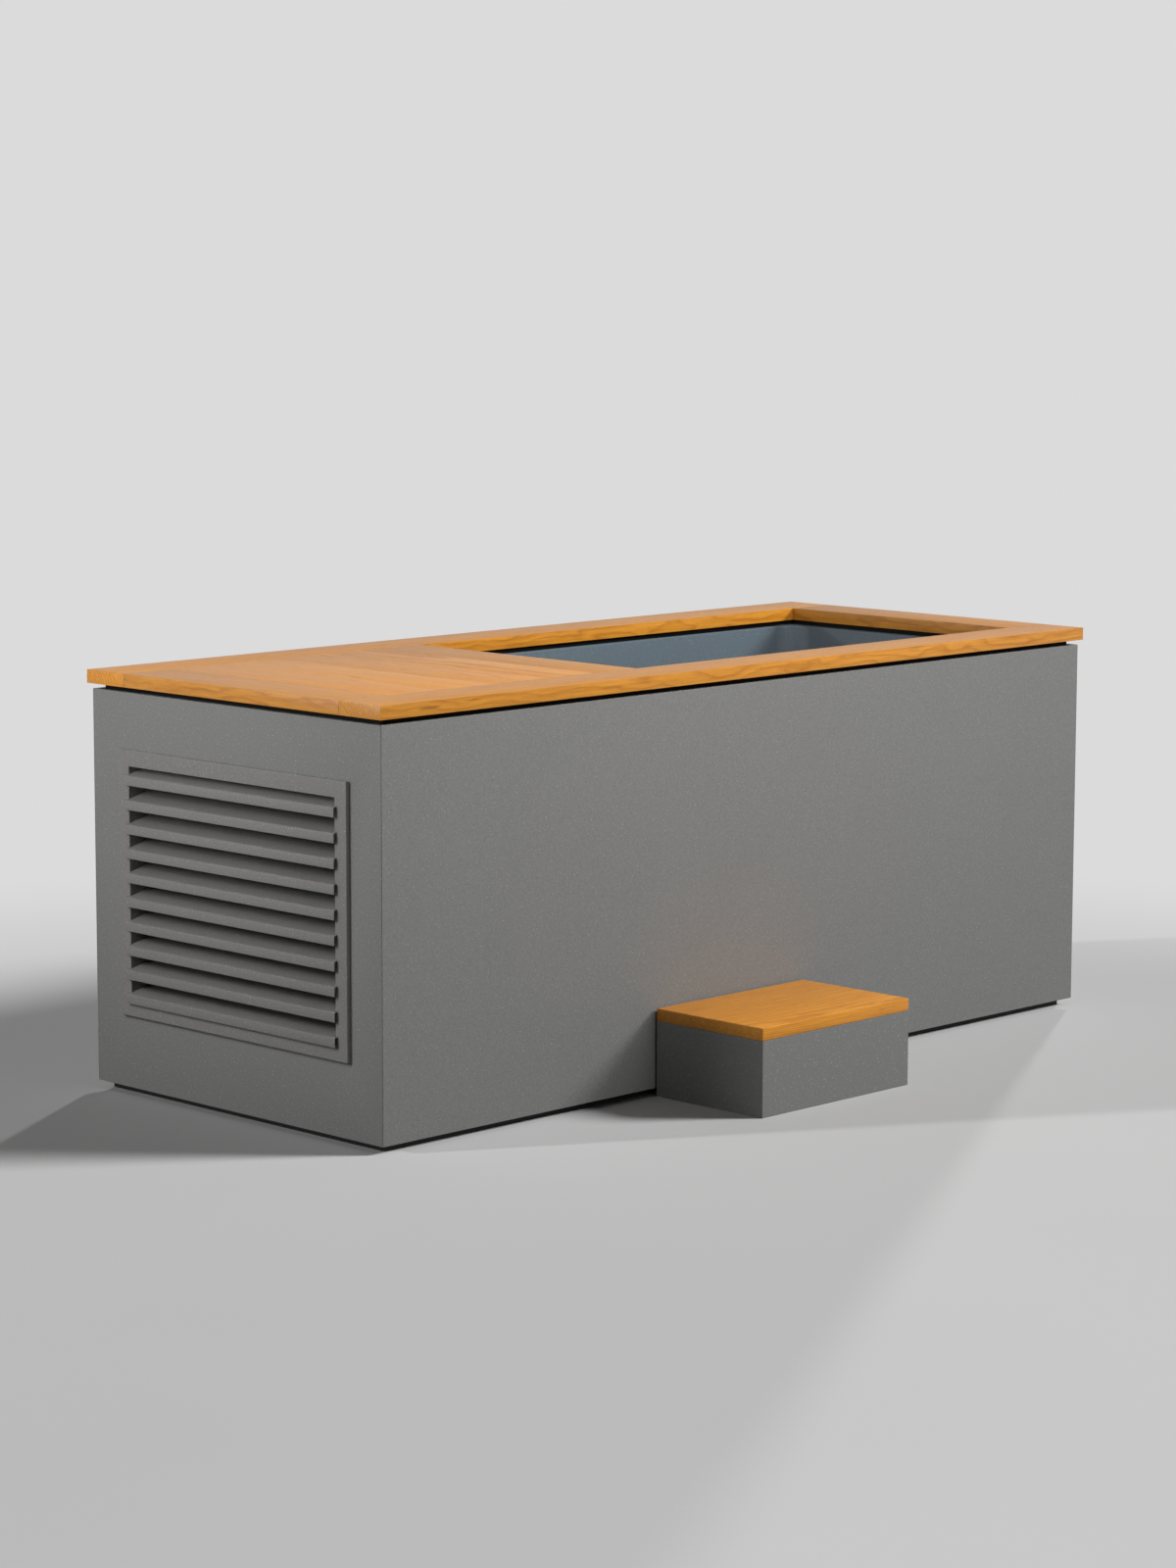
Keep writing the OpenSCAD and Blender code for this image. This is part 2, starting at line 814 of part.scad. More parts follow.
// Moulded basin with a flange that hangs on the frame
module basin() {
    color("#5e6d78") difference() {
        union() {
            basin_shape(basin_wall, z_panel1 - past);
            block([flange_x0, -flange_y, z_top1], [flange_x1, flange_y, z_panel1]);
        }
        basin_shape(0, z_panel1 + past);
        for (y = [suction_y, return_y])
            rod_x(wall_x - past, basin_x0 + past, y, fitting_z, pipe_hole_d);
        rod_z(z_basin - basin_wall - past, z_basin + past, drain_mid, drain_y, pipe_hole_d);
        bolt_holes(z_top1 - past, z_panel1 + past);
    }
}

// Flange and tail of a wall fitting, from the basin to a valve
module wall_fitting(y) {
    difference() {
        union() {
            rod_x(basin_x0, basin_x0 + fitting_flange_t, y, fitting_z, flange_d);
            rod_x(valve_x1, basin_x0 + fitting_flange_t, y, fitting_z, pipe_d);
        }
        rod_x(valve_x1 - past, basin_x0 + fitting_flange_t + past, y, fitting_z, pipe_bore);
    }
}

// Suction fitting with safety bars across its mouth
module suction_fitting() {
    x0 = basin_x0 + fitting_flange_t - bar_t - 1;
    color("#e8e8e6") {
        wall_fitting(suction_y);
        for (k = [-1, 0, 1])
            translate([x0, suction_y - pipe_bore / 2 - 1, fitting_z + (k * pipe_bore / 2 - bar_t) / 2])
                cube([bar_t, pipe_bore + 2, bar_t]);
    }
}

// Return fitting with a narrowed nozzle
module return_fitting() {
    x1 = basin_x0 + fitting_flange_t;
    color("#e8e8e6") {
        wall_fitting(return_y);
        difference() {
            rod_x(x1 - nozzle_t, x1, return_y, fitting_z, pipe_bore + 1);
            rod_x(x1 - nozzle_t - past, x1 + past, return_y, fitting_z, pipe_bore / 2);
        }
    }
}

// Drain fitting in the floor of the basin
module drain_fitting() {
    color("#e8e8e6") difference() {
        union() {
            rod_z(z_basin, z_basin + fitting_flange_t, drain_mid, drain_y, flange_d);
            rod_z(drain_tail, z_basin + fitting_flange_t, drain_mid, drain_y, pipe_d);
        }
        rod_z(drain_tail - past, z_basin + fitting_flange_t + past, drain_mid, drain_y, pipe_bore);
    }
}

// Six-sided nut on a tail, standing along Z from the origin
module hex_nut() {
    difference() {
        cylinder(h = nut_t, d = nut_af / cos(30), $fn = 6);
        translate([0, 0, -past]) cylinder(h = nut_t + 2 * past, d = pipe_hole_d);
    }
}

// Nuts that clamp the three fittings to the basin
module fitting_nuts() {
    color("#d9d9d6") {
        for (y = [suction_y, return_y])
            translate([wall_x - nut_t, y, fitting_z]) rotate([0, 90, 0]) hex_nut();
        translate([drain_mid, drain_y, z_basin - basin_wall - nut_t]) hex_nut();
    }
}

// Dark spacer strips under the timber, thicker where there is no flange
module deck_spacer() {
    in_y = basin_y + edge_clear;
    end_y = in_y - butt_gap;
    plant_x1 = flange_x0 - edge_clear;
    color("#141414") difference() {
        union() {
            for (y = [-spacer_y, in_y]) {
                block([-spacer_x, y, z_top1], [plant_x1, y + spacer_y - in_y, z_deck0]);
                block([flange_x0, y, z_panel1], [spacer_x, y + spacer_y - in_y, z_deck0]);
            }
            block([-spacer_x, -end_y, z_top1], [hatch_x0 - spacer_back, end_y, z_deck0]);
            block([flange_x0, -end_y, z_panel1], [basin_x0 - edge_clear, end_y, z_deck0]);
            block([basin_x1 + edge_clear, -end_y, z_panel1], [spacer_x, end_y, z_deck0]);
        }
        bolt_holes(z_top1 - past, z_deck0 + past);
    }
}

// Long timber rail, on the side given by -1 or 1
module deck_rail(side) {
    difference() {
        translate([-deck_x, side > 0 ? open_y : -deck_y, z_deck0])
            cube([2 * deck_x, deck_y - open_y, deck_t]);
        bolt_holes(z_deck0 - past, z_deck0 + bolt_bite + past);
    }
}

// Timber rail on the bather's side
module front_rail() {
    color("#d39a55") deck_rail(-1);
}

// Timber rail on the far side
module back_rail() {
    color("#d39a55") deck_rail(1);
}

// Timber board between the rails, from one place along X to another
module cross_board(x0, x1) {
    half = open_y - board_gap / 2;
    difference() {
        block([x0, -half, z_deck0], [x1, half, z_deck1]);
        bolt_holes(z_deck0 - past, z_deck0 + bolt_bite + past);
    }
}

// Fixed board over the louvre
module left_end_board() {
    color("#d39a55") cross_board(-deck_x, hatch_x0);
}

// Fixed board over the bulkhead
module bridge_board() {
    color("#d39a55") cross_board(hatch_x1, open_x0);
}

// Fixed board at the foot of the basin
module right_end_board() {
    color("#d39a55") cross_board(open_x1, deck_x);
}

// Bolts that hold the timber from below, through the top frame
module deck_bolts() {
    color("#b9bcc0") for (p = bolt_places) {
        rod_z(z_top0 - bolt_head_t, z_top0, p[0], p[1], bolt_head_d);
        rod_z(z_top0, z_deck0 + bolt_bite, p[0], p[1], bolt_d);
    }
}

// Loose hatch boards over the plant compartment
module hatch_boards() {
    color("#d39a55") difference() {
        for (i = [0 : hatch_count - 1]) {
            x = hatch_board_x(i);
            translate([x - hatch_board_w / 2, -hatch_y, z_deck0])
                cube([hatch_board_w, 2 * hatch_y, deck_t]);
        }
        for (p = screw_places)
            rod_z(z_deck0 - past, z_deck0 + hatch_screw_bite + past, p[0], p[1], screw_hole_d);
    }
}

// Battens that join the hatch boards and rest on the cross tubes
module hatch_battens() {
    z0 = z_top1 + seat_clear;
    color("#b98243") difference() {
        for (j = [0 : batten_count - 1])
            translate([hatch_x0 + hatch_gap, batten_y(j) - batten_w / 2, z0])
                cube([hatch_span, batten_w, z_deck0 - z0]);
        for (p = screw_places) {
            rod_z(z0 - past, z_deck0 + past, p[0], p[1], screw_hole_d);
            rod_z(z0 - past, z0 + bolt_head_t + hole_clear, p[0], p[1],
                hatch_screw_head_d + 2 * hole_clear);
        }
    }
}

// Screws through the battens into the hatch boards
module hatch_screws() {
    z0 = z_top1 + seat_clear + hole_clear;
    color("#b9bcc0") for (p = screw_places) {
        rod_z(z0, z0 + bolt_head_t, p[0], p[1], hatch_screw_head_d);
        rod_z(z0 + bolt_head_t, z_deck0 + hatch_screw_bite, p[0], p[1], hatch_screw_d);
    }
}

// Valve body along X with an upright stem boss, at a place in Y and Z
module valve_body(y, z) {
    top = z + valve_d / 2 + boss_h;
    color("#6b7076") difference() {
        union() {
            rod_x(valve_x0, valve_x1, y, z, valve_d);
            rod_z(z, top, valve_x, y, boss_d);
        }
        rod_x(valve_x0 - past, valve_x1 + past, y, z, pipe_bore);
        translate([valve_x, y, z]) sphere(d = ball_d + 2 * hole_clear);
        rod_z(z, top + past, valve_x, y, stem_d + 2 * run_clear);
    }
}

// Bored ball with its upright stem
module valve_ball(y, z) {
    bore = pipe_bore - 4;
    color("#c9ccd0") difference() {
        union() {
            translate([valve_x, y, z]) sphere(d = ball_d);
            rod_z(z, z + valve_d / 2 + boss_h + seat_clear + handle_t, valve_x, y, stem_d);
        }
        rod_x(valve_x - ball_d, valve_x + ball_d, y, z, bore);
    }
}

// T handle on the stem, in line with the pipe when the valve is open
module valve_handle(y, z) {
    low = z + valve_d / 2 + boss_h + seat_clear;
    color("#b5382c") difference() {
        union() {
            rod_z(low, low + handle_t, valve_x, y, boss_d);
            translate([valve_x - handle_l / 2, y - handle_bar / 2, low + 2])
                cube([handle_l, handle_bar, handle_t - 2]);
        }
        rod_z(low - past, low + handle_t + past, valve_x, y, stem_d + 2 * run_clear);
    }
}

// Suction valve, between the basin and the pump
module suction_valve_body() {
    valve_body(suction_y, fitting_z);
}
module suction_valve_ball() {
    valve_ball(suction_y, fitting_z);
}
module suction_valve_handle() {
    valve_handle(suction_y, fitting_z);
}

// Return valve, between the heat exchanger and the basin
module return_valve_body() {
    valve_body(return_y, fitting_z);
}
module return_valve_ball() {
    valve_ball(return_y, fitting_z);
}
module return_valve_handle() {
    valve_handle(return_y, fitting_z);
}

// Drain valve, low down beside the bulkhead
module drain_valve_body() {
    valve_body(drain_y, z_drain);
}
module drain_valve_ball() {
    valve_ball(drain_y, z_drain);
}
module drain_valve_handle() {
    valve_handle(drain_y, z_drain);
}

// Wet end of the pump, with its inlet towards the valve and its outlet upwards
module pump_casing() {
    color("#2d3034") difference() {
        union() {
            rod_x(volute_x0, volute_x1, suction_y, fitting_z, volute_d);
            rod_x(volute_x1, valve_x0, suction_y, fitting_z, socket_d);
            rod_z(fitting_z, fitting_z + volute_top, volute_x, suction_y, socket_d);
        }
        rod_x(volute_x0 + volute_wall, volute_x1 - volute_wall, suction_y, fitting_z,
            volute_d - 4 * volute_wall);
        rod_x(volute_x1 - volute_wall - past, valve_x0 + past, suction_y, fitting_z, pipe_bore);
        rod_z(fitting_z + volute_d / 2 - 3 * volute_wall, fitting_z + volute_top + past,
            volute_x, suction_y, pipe_bore);
        rod_x(volute_x0 - past, volute_x0 + volute_wall + past, suction_y, fitting_z,
            pump_shaft_d + 2 * run_clear);
    }
}

// Pump motor with its flange, fan cover and pedestal
module pump_motor() {
    low = fitting_z - pump_motor_d / 2;
    color("#3a4a5c") difference() {
        union() {
            rod_x(motor_x1, volute_x0, suction_y, fitting_z, volute_d);
            rod_x(motor_x0, motor_x1, suction_y, fitting_z, pump_motor_d);
            rod_x(motor_x0 - fan_cover_l, motor_x0, suction_y, fitting_z, pump_motor_d + 6);
            block([motor_x0 + pedestal_in, suction_y - pedestal_w / 2, z_floor1],
                [motor_x1 - pedestal_in, suction_y + pedestal_w / 2, low + pedestal_in]);
        }
        rod_x(volute_x0 - shaft_in - past, volute_x0 + past, suction_y, fitting_z,
            pump_shaft_d + 2 * run_clear);
    }
}

// Pump shaft with its impeller
module pump_rotor() {
    back = volute_x0 + volute_wall + impeller_gap;
    front = volute_x1 - volute_wall - impeller_gap;
    root = pump_shaft_d / 2 - 2;
    color("#c8b070") {
        rod_x(volute_x0 - shaft_in, front, suction_y, fitting_z, pump_shaft_d);
        rod_x(back, back + vane_t, suction_y, fitting_z, impeller_d);
        for (i = [0 : vane_count - 1])
            translate([back, suction_y, fitting_z]) rotate([i * 360 / vane_count, 0, 0])
                translate([0, root, -vane_t / 2]) cube([front - back, impeller_d / 2 - root - 4, vane_t]);
    }
}

// Pipe from the pump's outlet to the filter's inlet
module discharge_pipe() {
    color("#dcdcd8") pipe([
        [volute_x, suction_y, fitting_z + volute_top],
        [volute_x, suction_y, port_z],
        [volute_x, filter_y + filter_d / 2 + port_l, port_z]
    ], pipe_bend, pipe_d, pipe_bore);
}

// Filter housing with a port on each side of its head
module filter_housing() {
    r = filter_d / 2;
    color("#33383d") difference() {
        union() {
            rod_z(z_floor1, filter_top - neck_h, filter_x, filter_y, filter_d);
            rod_z(filter_top - neck_h, filter_top, filter_x, filter_y, filter_neck_d);
            rod_y(filter_y - r - port_l, filter_y + r + port_l, filter_x, port_z, socket_d);
        }
        rod_z(filter_floor, filter_top + past, filter_x, filter_y, filter_bore);
        rod_y(filter_y - r - port_l - past, filter_y + r + port_l + past, filter_x, port_z, pipe_bore);
    }
}

// Pleated cartridge between two end caps, round an open core
module filter_cartridge() {
    high = port_z - pipe_d / 2 - cartridge_gap;
    r = filter_bore / 2 - cartridge_gap;
    core = core_share * r;
    fold = 360 / pleat_count;
    tall = high - filter_floor - cap_t;
    color("#f0f2f4") translate([filter_x, filter_y, filter_floor]) {
        for (z = [0, tall]) translate([0, 0, z]) linear_extrude(cap_t) difference() {
            circle(r);
            circle(core);
        }
        translate([0, 0, cap_t]) linear_extrude(tall - cap_t) difference() {
            polygon([
                for (i = [0 : pleat_count - 1], k = [0, 1])
                    (k == 0 ? r - bar_t : 1.5 * core) * [cos((i + k / 2) * fold), sin((i + k / 2) * fold)]
            ]);
            circle(core);
        }
    }
}

// Screw lid with two grips and a skirt round the housing's neck
module filter_lid() {
    low = filter_top - neck_h + seat_clear;
    roof = filter_top + seat_clear;
    grip = filter_d - 2 * grip_in;
    color("#1f2226") difference() {
        union() {
            rod_z(low, roof + lid_t, filter_x, filter_y, filter_d + 4);
            translate([filter_x - grip / 2, filter_y - grip_w / 2, roof])
                cube([grip, grip_w, lid_h - seat_clear]);
        }
        rod_z(low - past, roof, filter_x, filter_y, filter_neck_d + 2 * hole_clear);
    }
}

// Pipe from the filter's outlet to the heat exchanger
module transfer_pipe() {
    color("#dcdcd8") pipe([
        [filter_x, filter_y - filter_d / 2 - port_l, port_z],
        [filter_x, exchanger_y, port_z],
        [exchanger_x1 + port_l, exchanger_y, port_z]
    ], pipe_bend, pipe_d, pipe_bore);
}

// Brazed plate heat exchanger on its stand, with two water ports and two refrigerant ports
module heat_exchanger() {
    low = fitting_z - exchanger_over;
    high = port_z + exchanger_over;
    half = exchanger_w / 2;
    near = exchanger_y - half;
    color("#a9aeb3") difference() {
        union() {
            block([exchanger_x0, near, low], [exchanger_x1, exchanger_y + half, high]);
            for (z = [fitting_z, port_z]) {
                rod_x(exchanger_x1, exchanger_x1 + port_l, exchanger_y, z, socket_d);
                rod_y(near - line_port_l, near, exchanger_x, z, line_port_d);
            }
            for (y = [near, exchanger_y + half - leg_t])
                translate([exchanger_x0, y, z_floor1]) cube([exchanger_t, leg_t, low - z_floor1]);
        }
        for (z = [fitting_z, port_z]) {
            rod_x(exchanger_x1 - socket_in, exchanger_x1 + port_l + past, exchanger_y, z, pipe_bore);
            rod_y(near - line_port_l - past, near + socket_in, exchanger_x, z, line_d - 2);
        }
    }
}

// Straight pipe back to the basin, with an injector for ozone on its way
module return_pipe() {
    mid = (exchanger_x1 + port_l + valve_x0) / 2;
    color("#dcdcd8") difference() {
        union() {
            rod_x(exchanger_x1 + port_l, valve_x0, return_y, fitting_z, pipe_d);
            rod_x(mid - nozzle_l, mid + nozzle_l, return_y, fitting_z, socket_d);
        }
        rod_x(exchanger_x1 + port_l - past, valve_x0 + past, return_y, fitting_z, pipe_bore);
    }
}

// Drain line: one length under the basin, and one from the valve out through the back panel
module drain_pipes() {
    out_y = panel_w / 2 + deck_over;
    color("#dcdcd8") {
        pipe([
            [drain_mid, drain_y, drain_tail], [drain_mid, drain_y, z_drain],
            [valve_x1, drain_y, z_drain]
        ], drain_bend, pipe_d, pipe_bore);
        pipe([
            [valve_x0, drain_y, z_drain], [filter_x, drain_y, z_drain], [filter_x, out_y, z_drain]
        ], drain_bend, pipe_d, pipe_bore);
    }
}

// Finned coil between two side plates that stand on the floor board
module condenser_coil() {
    pitch = coil_w / fin_count;
    row_pitch = (coil_h - 2 * row_h) / (row_count - 1);
    color("#b8bcc0") {
        for (y = [-coil_y, coil_y - coil_plate_t])
            block([coil_x0, y, z_floor1], [coil_x1, y + coil_plate_t, coil_z1]);
        for (i = [1 : fin_count - 1])
            translate([coil_x0, -coil_y + i * pitch - fin_t / 2, coil_z0]) cube([coil_t, fin_t, coil_h]);
        for (row = [0 : row_count - 1])
            translate([coil_x - row_h / 2, -coil_y + coil_plate_t, coil_z0 + row_h / 2 + row * row_pitch])
                cube([row_h, 2 * (coil_y - coil_plate_t), row_h]);
    }
}

// Sheet behind the coil with the ring that the fan runs in
module fan_shroud() {
    color("#3c4044") difference() {
        union() {
            block([coil_x1, -coil_y, z_floor1], [shroud_x1, coil_y, coil_z1]);
            rod_x(coil_x1, shroud_x1 + ring_l, 0, fan_z, shroud_d + 2 * ring_t);
        }
        rod_x(coil_x1 - past, shroud_x1 + ring_l + past, 0, fan_z, shroud_d);
    }
}

// Fan motor on a strap with two legs from the shroud
module fan_motor() {
    back = fan_motor_x0 + fan_motor_l;
    z0 = fan_z - bracket_w / 2;
    z1 = fan_z + bracket_w / 2;
    color("#2b2e31") difference() {
        union() {
            rod_x(fan_motor_x0, back, 0, fan_z, fan_motor_d);
            block([back - bracket_t, -bracket_y, z0], [back, bracket_y, z1]);
            for (y = [-bracket_y, bracket_y])
                block([shroud_x1, y - bracket_t, z0], [back, y + bracket_t, z1]);
        }
        rod_x(fan_motor_x0 - past, fan_motor_x0 + fan_motor_l / 2, 0, fan_z, fan_shaft_d + 2 * run_clear);
    }
}

// Axial fan with its shaft
module condenser_fan() {
    reach = shroud_d / 2 - fan_gap;
    root = hub_d / 2 - 6;
    color("#1b1d1f") {
        rod_x(fan_x0, fan_x0 + hub_l, 0, fan_z, hub_d);
        rod_x(fan_x0 + hub_l, fan_motor_x0 + fan_motor_l / 2 - past, 0, fan_z, fan_shaft_d);
        intersection() {
            rod_x(fan_x0 - past, fan_x0 + hub_l + past, 0, fan_z, 2 * reach);
            for (i = [0 : fan_blades - 1])
                translate([fan_x0 + hub_l / 2, 0, fan_z])
                    rotate([i * 360 / fan_blades, 0, 0]) rotate([0, 0, -fan_pitch])
                        translate([-fan_blade_t / 2, -fan_blade_w / 2, root])
                            cube([fan_blade_t, fan_blade_w, reach]);
        }
    }
}

// Hermetic compressor on its foot plate
module compressor() {
    r = compressor_d / 2;
    shoulder = compressor_h - dome_r;
    foot = r + foot_over;
    color("#17191b") translate([compressor_x, compressor_y, z_floor1]) {
        difference() {
            rotate_extrude() polygon(concat(
                [[0, 0], [r, 0]],
                [for (a = [0 : 10 : 90]) [r - dome_r + dome_r * cos(a), shoulder + dome_r * sin(a)]],
                [[0, compressor_h]]
            ));
            translate([0, 0, shell_t]) cylinder(h = compressor_h - 2 * shell_t, r = r - shell_t);
        }
        translate([-foot, -foot, 0]) cube([2 * foot, 2 * foot, foot_t]);
    }
}

// Copper lines: suction, discharge, and liquid with its drier
module refrigerant_lines() {
    port_y = exchanger_y - exchanger_w / 2 - line_port_l;
    suction_line_y = port_y - line_out;
    top = z_floor1 + compressor_h;
    high = coil_z1 - line_inset;
    low = fitting_z;
    color("#b8703c") {
        route([
            [exchanger_x, port_y, port_z], [exchanger_x, suction_line_y, port_z],
            [compressor_x, suction_line_y, port_z], [compressor_x, suction_line_y, top]
        ], line_bend, line_d);
        route([
            [compressor_x, riser_y, top], [compressor_x, riser_y, high],
            [compressor_x, line_y, high], [coil_x, line_y, high], [coil_x, -coil_y, high]
        ], line_bend, line_d);
        route([
            [coil_x, -coil_y, low], [coil_x, line_y, low], [exchanger_x, line_y, low],
            [exchanger_x, port_y, low]
        ], line_bend, line_d);
        rod_x(compressor_x - drier_l / 2, compressor_x + drier_l / 2, line_y, low, drier_d);
    }
}

// Sealed control box on the bulkhead
module control_box() {
    y0 = control_y - control_w / 2;
    y1 = control_y + control_w / 2;
    z1 = control_z0 + control_h;
    t = control_wall;
    color("#cfd2d4") difference() {
        block([control_x0, y0, control_z0], [bulkhead_x, y1, z1]);
        block([control_x0 + t, y0 + t, control_z0 + t], [bulkhead_x - t, y1 - t, z1 - t]);
        rod_x(control_x0 - past, control_x0 + t + past, control_y, knob_z, knob_shaft_d + 2 * run_clear);
    }
}

// Rotary isolator knob with its pointer ridge and shaft
module isolator_knob() {
    x1 = control_x0 - seat_clear;
    ridge = knob_d - 2 * knob_ridge_in;
    color("#c23a2b") {
        rod_x(x1 - knob_t / 2, x1, control_y, knob_z, knob_d);
        translate([x1 - knob_t, control_y - knob_ridge_w / 2, knob_z - ridge / 2])
            cube([knob_t / 2, knob_ridge_w, ridge]);
        rod_x(x1, control_x0 + knob_shaft_in, control_y, knob_z, knob_shaft_d);
    }
}

// Six-sided flange of the cable gland, standing along +Y from a place in Y
module gland_hex(y, t) {
    translate([gland_x, y, z_drain]) rotate([-90, 0, 0]) cylinder(h = t, d = gland_hex_d, $fn = 6);
}

// Cable gland in the back panel
module cable_gland() {
    face = panel_w / 2;
    y0 = frame_y - gland_tail;
    color("#202225") difference() {
        union() {
            rod_y(y0, face + deck_over, gland_x, z_drain, gland_d);
            gland_hex(face, deck_over);
            gland_hex(frame_y - gland_nut_t, gland_nut_t);
        }
        rod_y(y0 - past, face + deck_over + past, gland_x, z_drain, gland_bore);
    }
}

// Cladding boards of the step, mitred at the corners
module step_boards() {
    color("#77767a") translate([step_x, step_y, 0])
        for (turn = [0, 180]) rotate([0, 0, turn]) {
            translate([0, -step_w / 2, 0]) linear_extrude(step_z) mitred(step_l - mitre_gap);
            translate([-step_l / 2, 0, 0]) rotate([0, 0, -90])
                linear_extrude(step_z) mitred(step_w - mitre_gap);
        }
}

// Timber tread of the step
module step_tread() {
    color("#d39a55") translate([step_x - step_l / 2, step_y0, step_z]) cube([step_l, step_w, tread_t]);
}

// Blocks in the corners of the step
module step_blocks() {
    x = step_l / 2 - panel_t - block_w / 2;
    y = step_w / 2 - panel_t - block_w / 2;
    color("#a37a48") for (i = [-1, 1], j = [-1, 1])
        translate([step_x + i * x - block_w / 2, step_y + j * y - block_w / 2, block_lift])
            cube([block_w, block_w, step_z - block_lift]);
}

plinth();
base_frame();
frame_posts();
top_frame();
floor_board();
bulkhead();
front_panel();
back_panel();
louvre_end_panel();
plain_end_panel();
louvre_frame();
louvre_blades();
foam_insulation();
basin();
suction_fitting();
return_fitting();
drain_fitting();
fitting_nuts();
deck_spacer();
front_rail();
back_rail();
left_end_board();
bridge_board();
right_end_board();
deck_bolts();
hatch_boards();
hatch_battens();
hatch_screws();
suction_valve_body();
suction_valve_ball();
suction_valve_handle();
return_valve_body();
return_valve_ball();
return_valve_handle();
drain_valve_body();
drain_valve_ball();
drain_valve_handle();
pump_casing();
pump_motor();
pump_rotor();
discharge_pipe();
filter_housing();
filter_cartridge();
filter_lid();
transfer_pipe();
heat_exchanger();
return_pipe();
drain_pipes();
condenser_coil();
fan_shroud();
fan_motor();
condenser_fan();
compressor();
refrigerant_lines();
control_box();
isolator_knob();
cable_gland();
step_boards();
step_tread();
step_blocks();
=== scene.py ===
"""Finishes of the cold plunge tub: cladding, louvre, timber deck, basin, plant and step."""

import json
import math

import bmesh
import bpy
from mathutils import Matrix, Vector


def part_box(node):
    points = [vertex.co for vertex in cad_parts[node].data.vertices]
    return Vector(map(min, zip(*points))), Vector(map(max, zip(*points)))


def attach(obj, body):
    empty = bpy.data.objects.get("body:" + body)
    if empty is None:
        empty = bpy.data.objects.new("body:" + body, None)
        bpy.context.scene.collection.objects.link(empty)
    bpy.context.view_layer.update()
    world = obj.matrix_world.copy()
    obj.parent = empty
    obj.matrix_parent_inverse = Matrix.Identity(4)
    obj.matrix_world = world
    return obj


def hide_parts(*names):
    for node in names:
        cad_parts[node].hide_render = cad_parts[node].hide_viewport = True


bl_info = {
    "name": "Cold plunge tub finishes",
    "version": (1, 0, 0),
    "blender": (4, 5, 0),
    "location": "View3D > Sidebar > Tub",
    "description": "Dresses the frame of a cold plunge tub with its finishes",
    "category": "Object",
}

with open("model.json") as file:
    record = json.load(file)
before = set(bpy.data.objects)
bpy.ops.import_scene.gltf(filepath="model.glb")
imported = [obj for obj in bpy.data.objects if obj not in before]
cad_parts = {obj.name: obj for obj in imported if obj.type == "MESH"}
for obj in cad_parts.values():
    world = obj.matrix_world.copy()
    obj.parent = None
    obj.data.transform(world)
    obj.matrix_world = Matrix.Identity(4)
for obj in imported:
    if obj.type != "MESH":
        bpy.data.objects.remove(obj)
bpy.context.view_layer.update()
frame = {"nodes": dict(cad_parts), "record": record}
NODES = frame["nodes"]
BODY_OF = {
    node: body
    for body, members in frame["record"]["behaviour"]["bodies"].items()
    for node in members
}
SLOT_OF = {row["node"]: row["material_slot"] for row in frame["record"]["subparts"]}
MM = 0.001


# Sizes and colours that a user would change


def colour_value(text, red, green, blue):
    """A colour written as it looks on a screen, from 0 to 255."""
    return bpy.props.FloatVectorProperty(
        name=text, description="Colour of the " + text.lower(), subtype="COLOR_GAMMA",
        size=3, min=0, max=1, default=(red / 255, green / 255, blue / 255),
    )


def number_value(text, what, default, **more):
    """A number with its name and description."""
    return bpy.props.FloatProperty(name=text, description=what, default=default, **more)


def length_value(text, what, millimetres):
    """A small length."""
    return number_value(text, what, millimetres * MM, subtype="DISTANCE", unit="LENGTH", min=0)


def angle_value(text, what, degrees):
    """An angle of the camera."""
    return number_value(text, what, math.radians(degrees), subtype="ANGLE")


def power_value(text, what, watts):
    """The power of an area lamp."""
    return number_value(text, what, watts, subtype="POWER", unit="POWER")


def strength_value(text, what, strength):
    """The strength of a distant lamp, or of the light from all round."""
    return number_value(text, what, strength, min=0)


class TubColours(bpy.types.PropertyGroup):
    """Colours of the tub's finishes."""

    cladding: colour_value("Cladding", 119, 119, 118)
    louvre: colour_value("Louvre", 120, 119, 117)
    timber_light: colour_value("Timber early wood", 226, 154, 52)
    timber_dark: colour_value("Timber late wood", 166, 98, 24)
    basin: colour_value("Basin", 95, 107, 115)
    strip: colour_value("Plinth and spacer", 15, 15, 15)
    steel: colour_value("Frame steel", 74, 77, 80)
    moulding: colour_value("White mouldings", 228, 228, 225)
    handle: colour_value("Valve handles and knob", 184, 58, 44)
    floor: colour_value("Studio floor", 216, 216, 216)
    background: colour_value("Studio background", 219, 219, 219)


class TubSizes(bpy.types.PropertyGroup):
    """Fine sizes of the tub's edges and grains."""

    panel_ease: length_value("Panel edge", "Bevel on the edges of the cladding", 0.8)
    board_ease: length_value("Board edge", "Bevel on the edges of the timber", 2.0)
    edge_scale: number_value("Other edges", "Factor on the bevels of all other parts", 1.0, min=0)
    speckle: length_value("Speckle", "Size of the speckle in the cladding", 3.2)
    ring_pitch: length_value("Ring pitch", "Distance between two growth rings", 7.0)
    basin_rim: length_value("Basin rim", "Radius on the upper edge of the basin", 6.0)
    fin_pitch: length_value("Fin pitch", "Distance between two fins of the coil", 3.2)
    motor_fins: bpy.props.IntProperty(
        name="Motor fins", description="Number of fins round the pump motor", default=28, min=8
    )


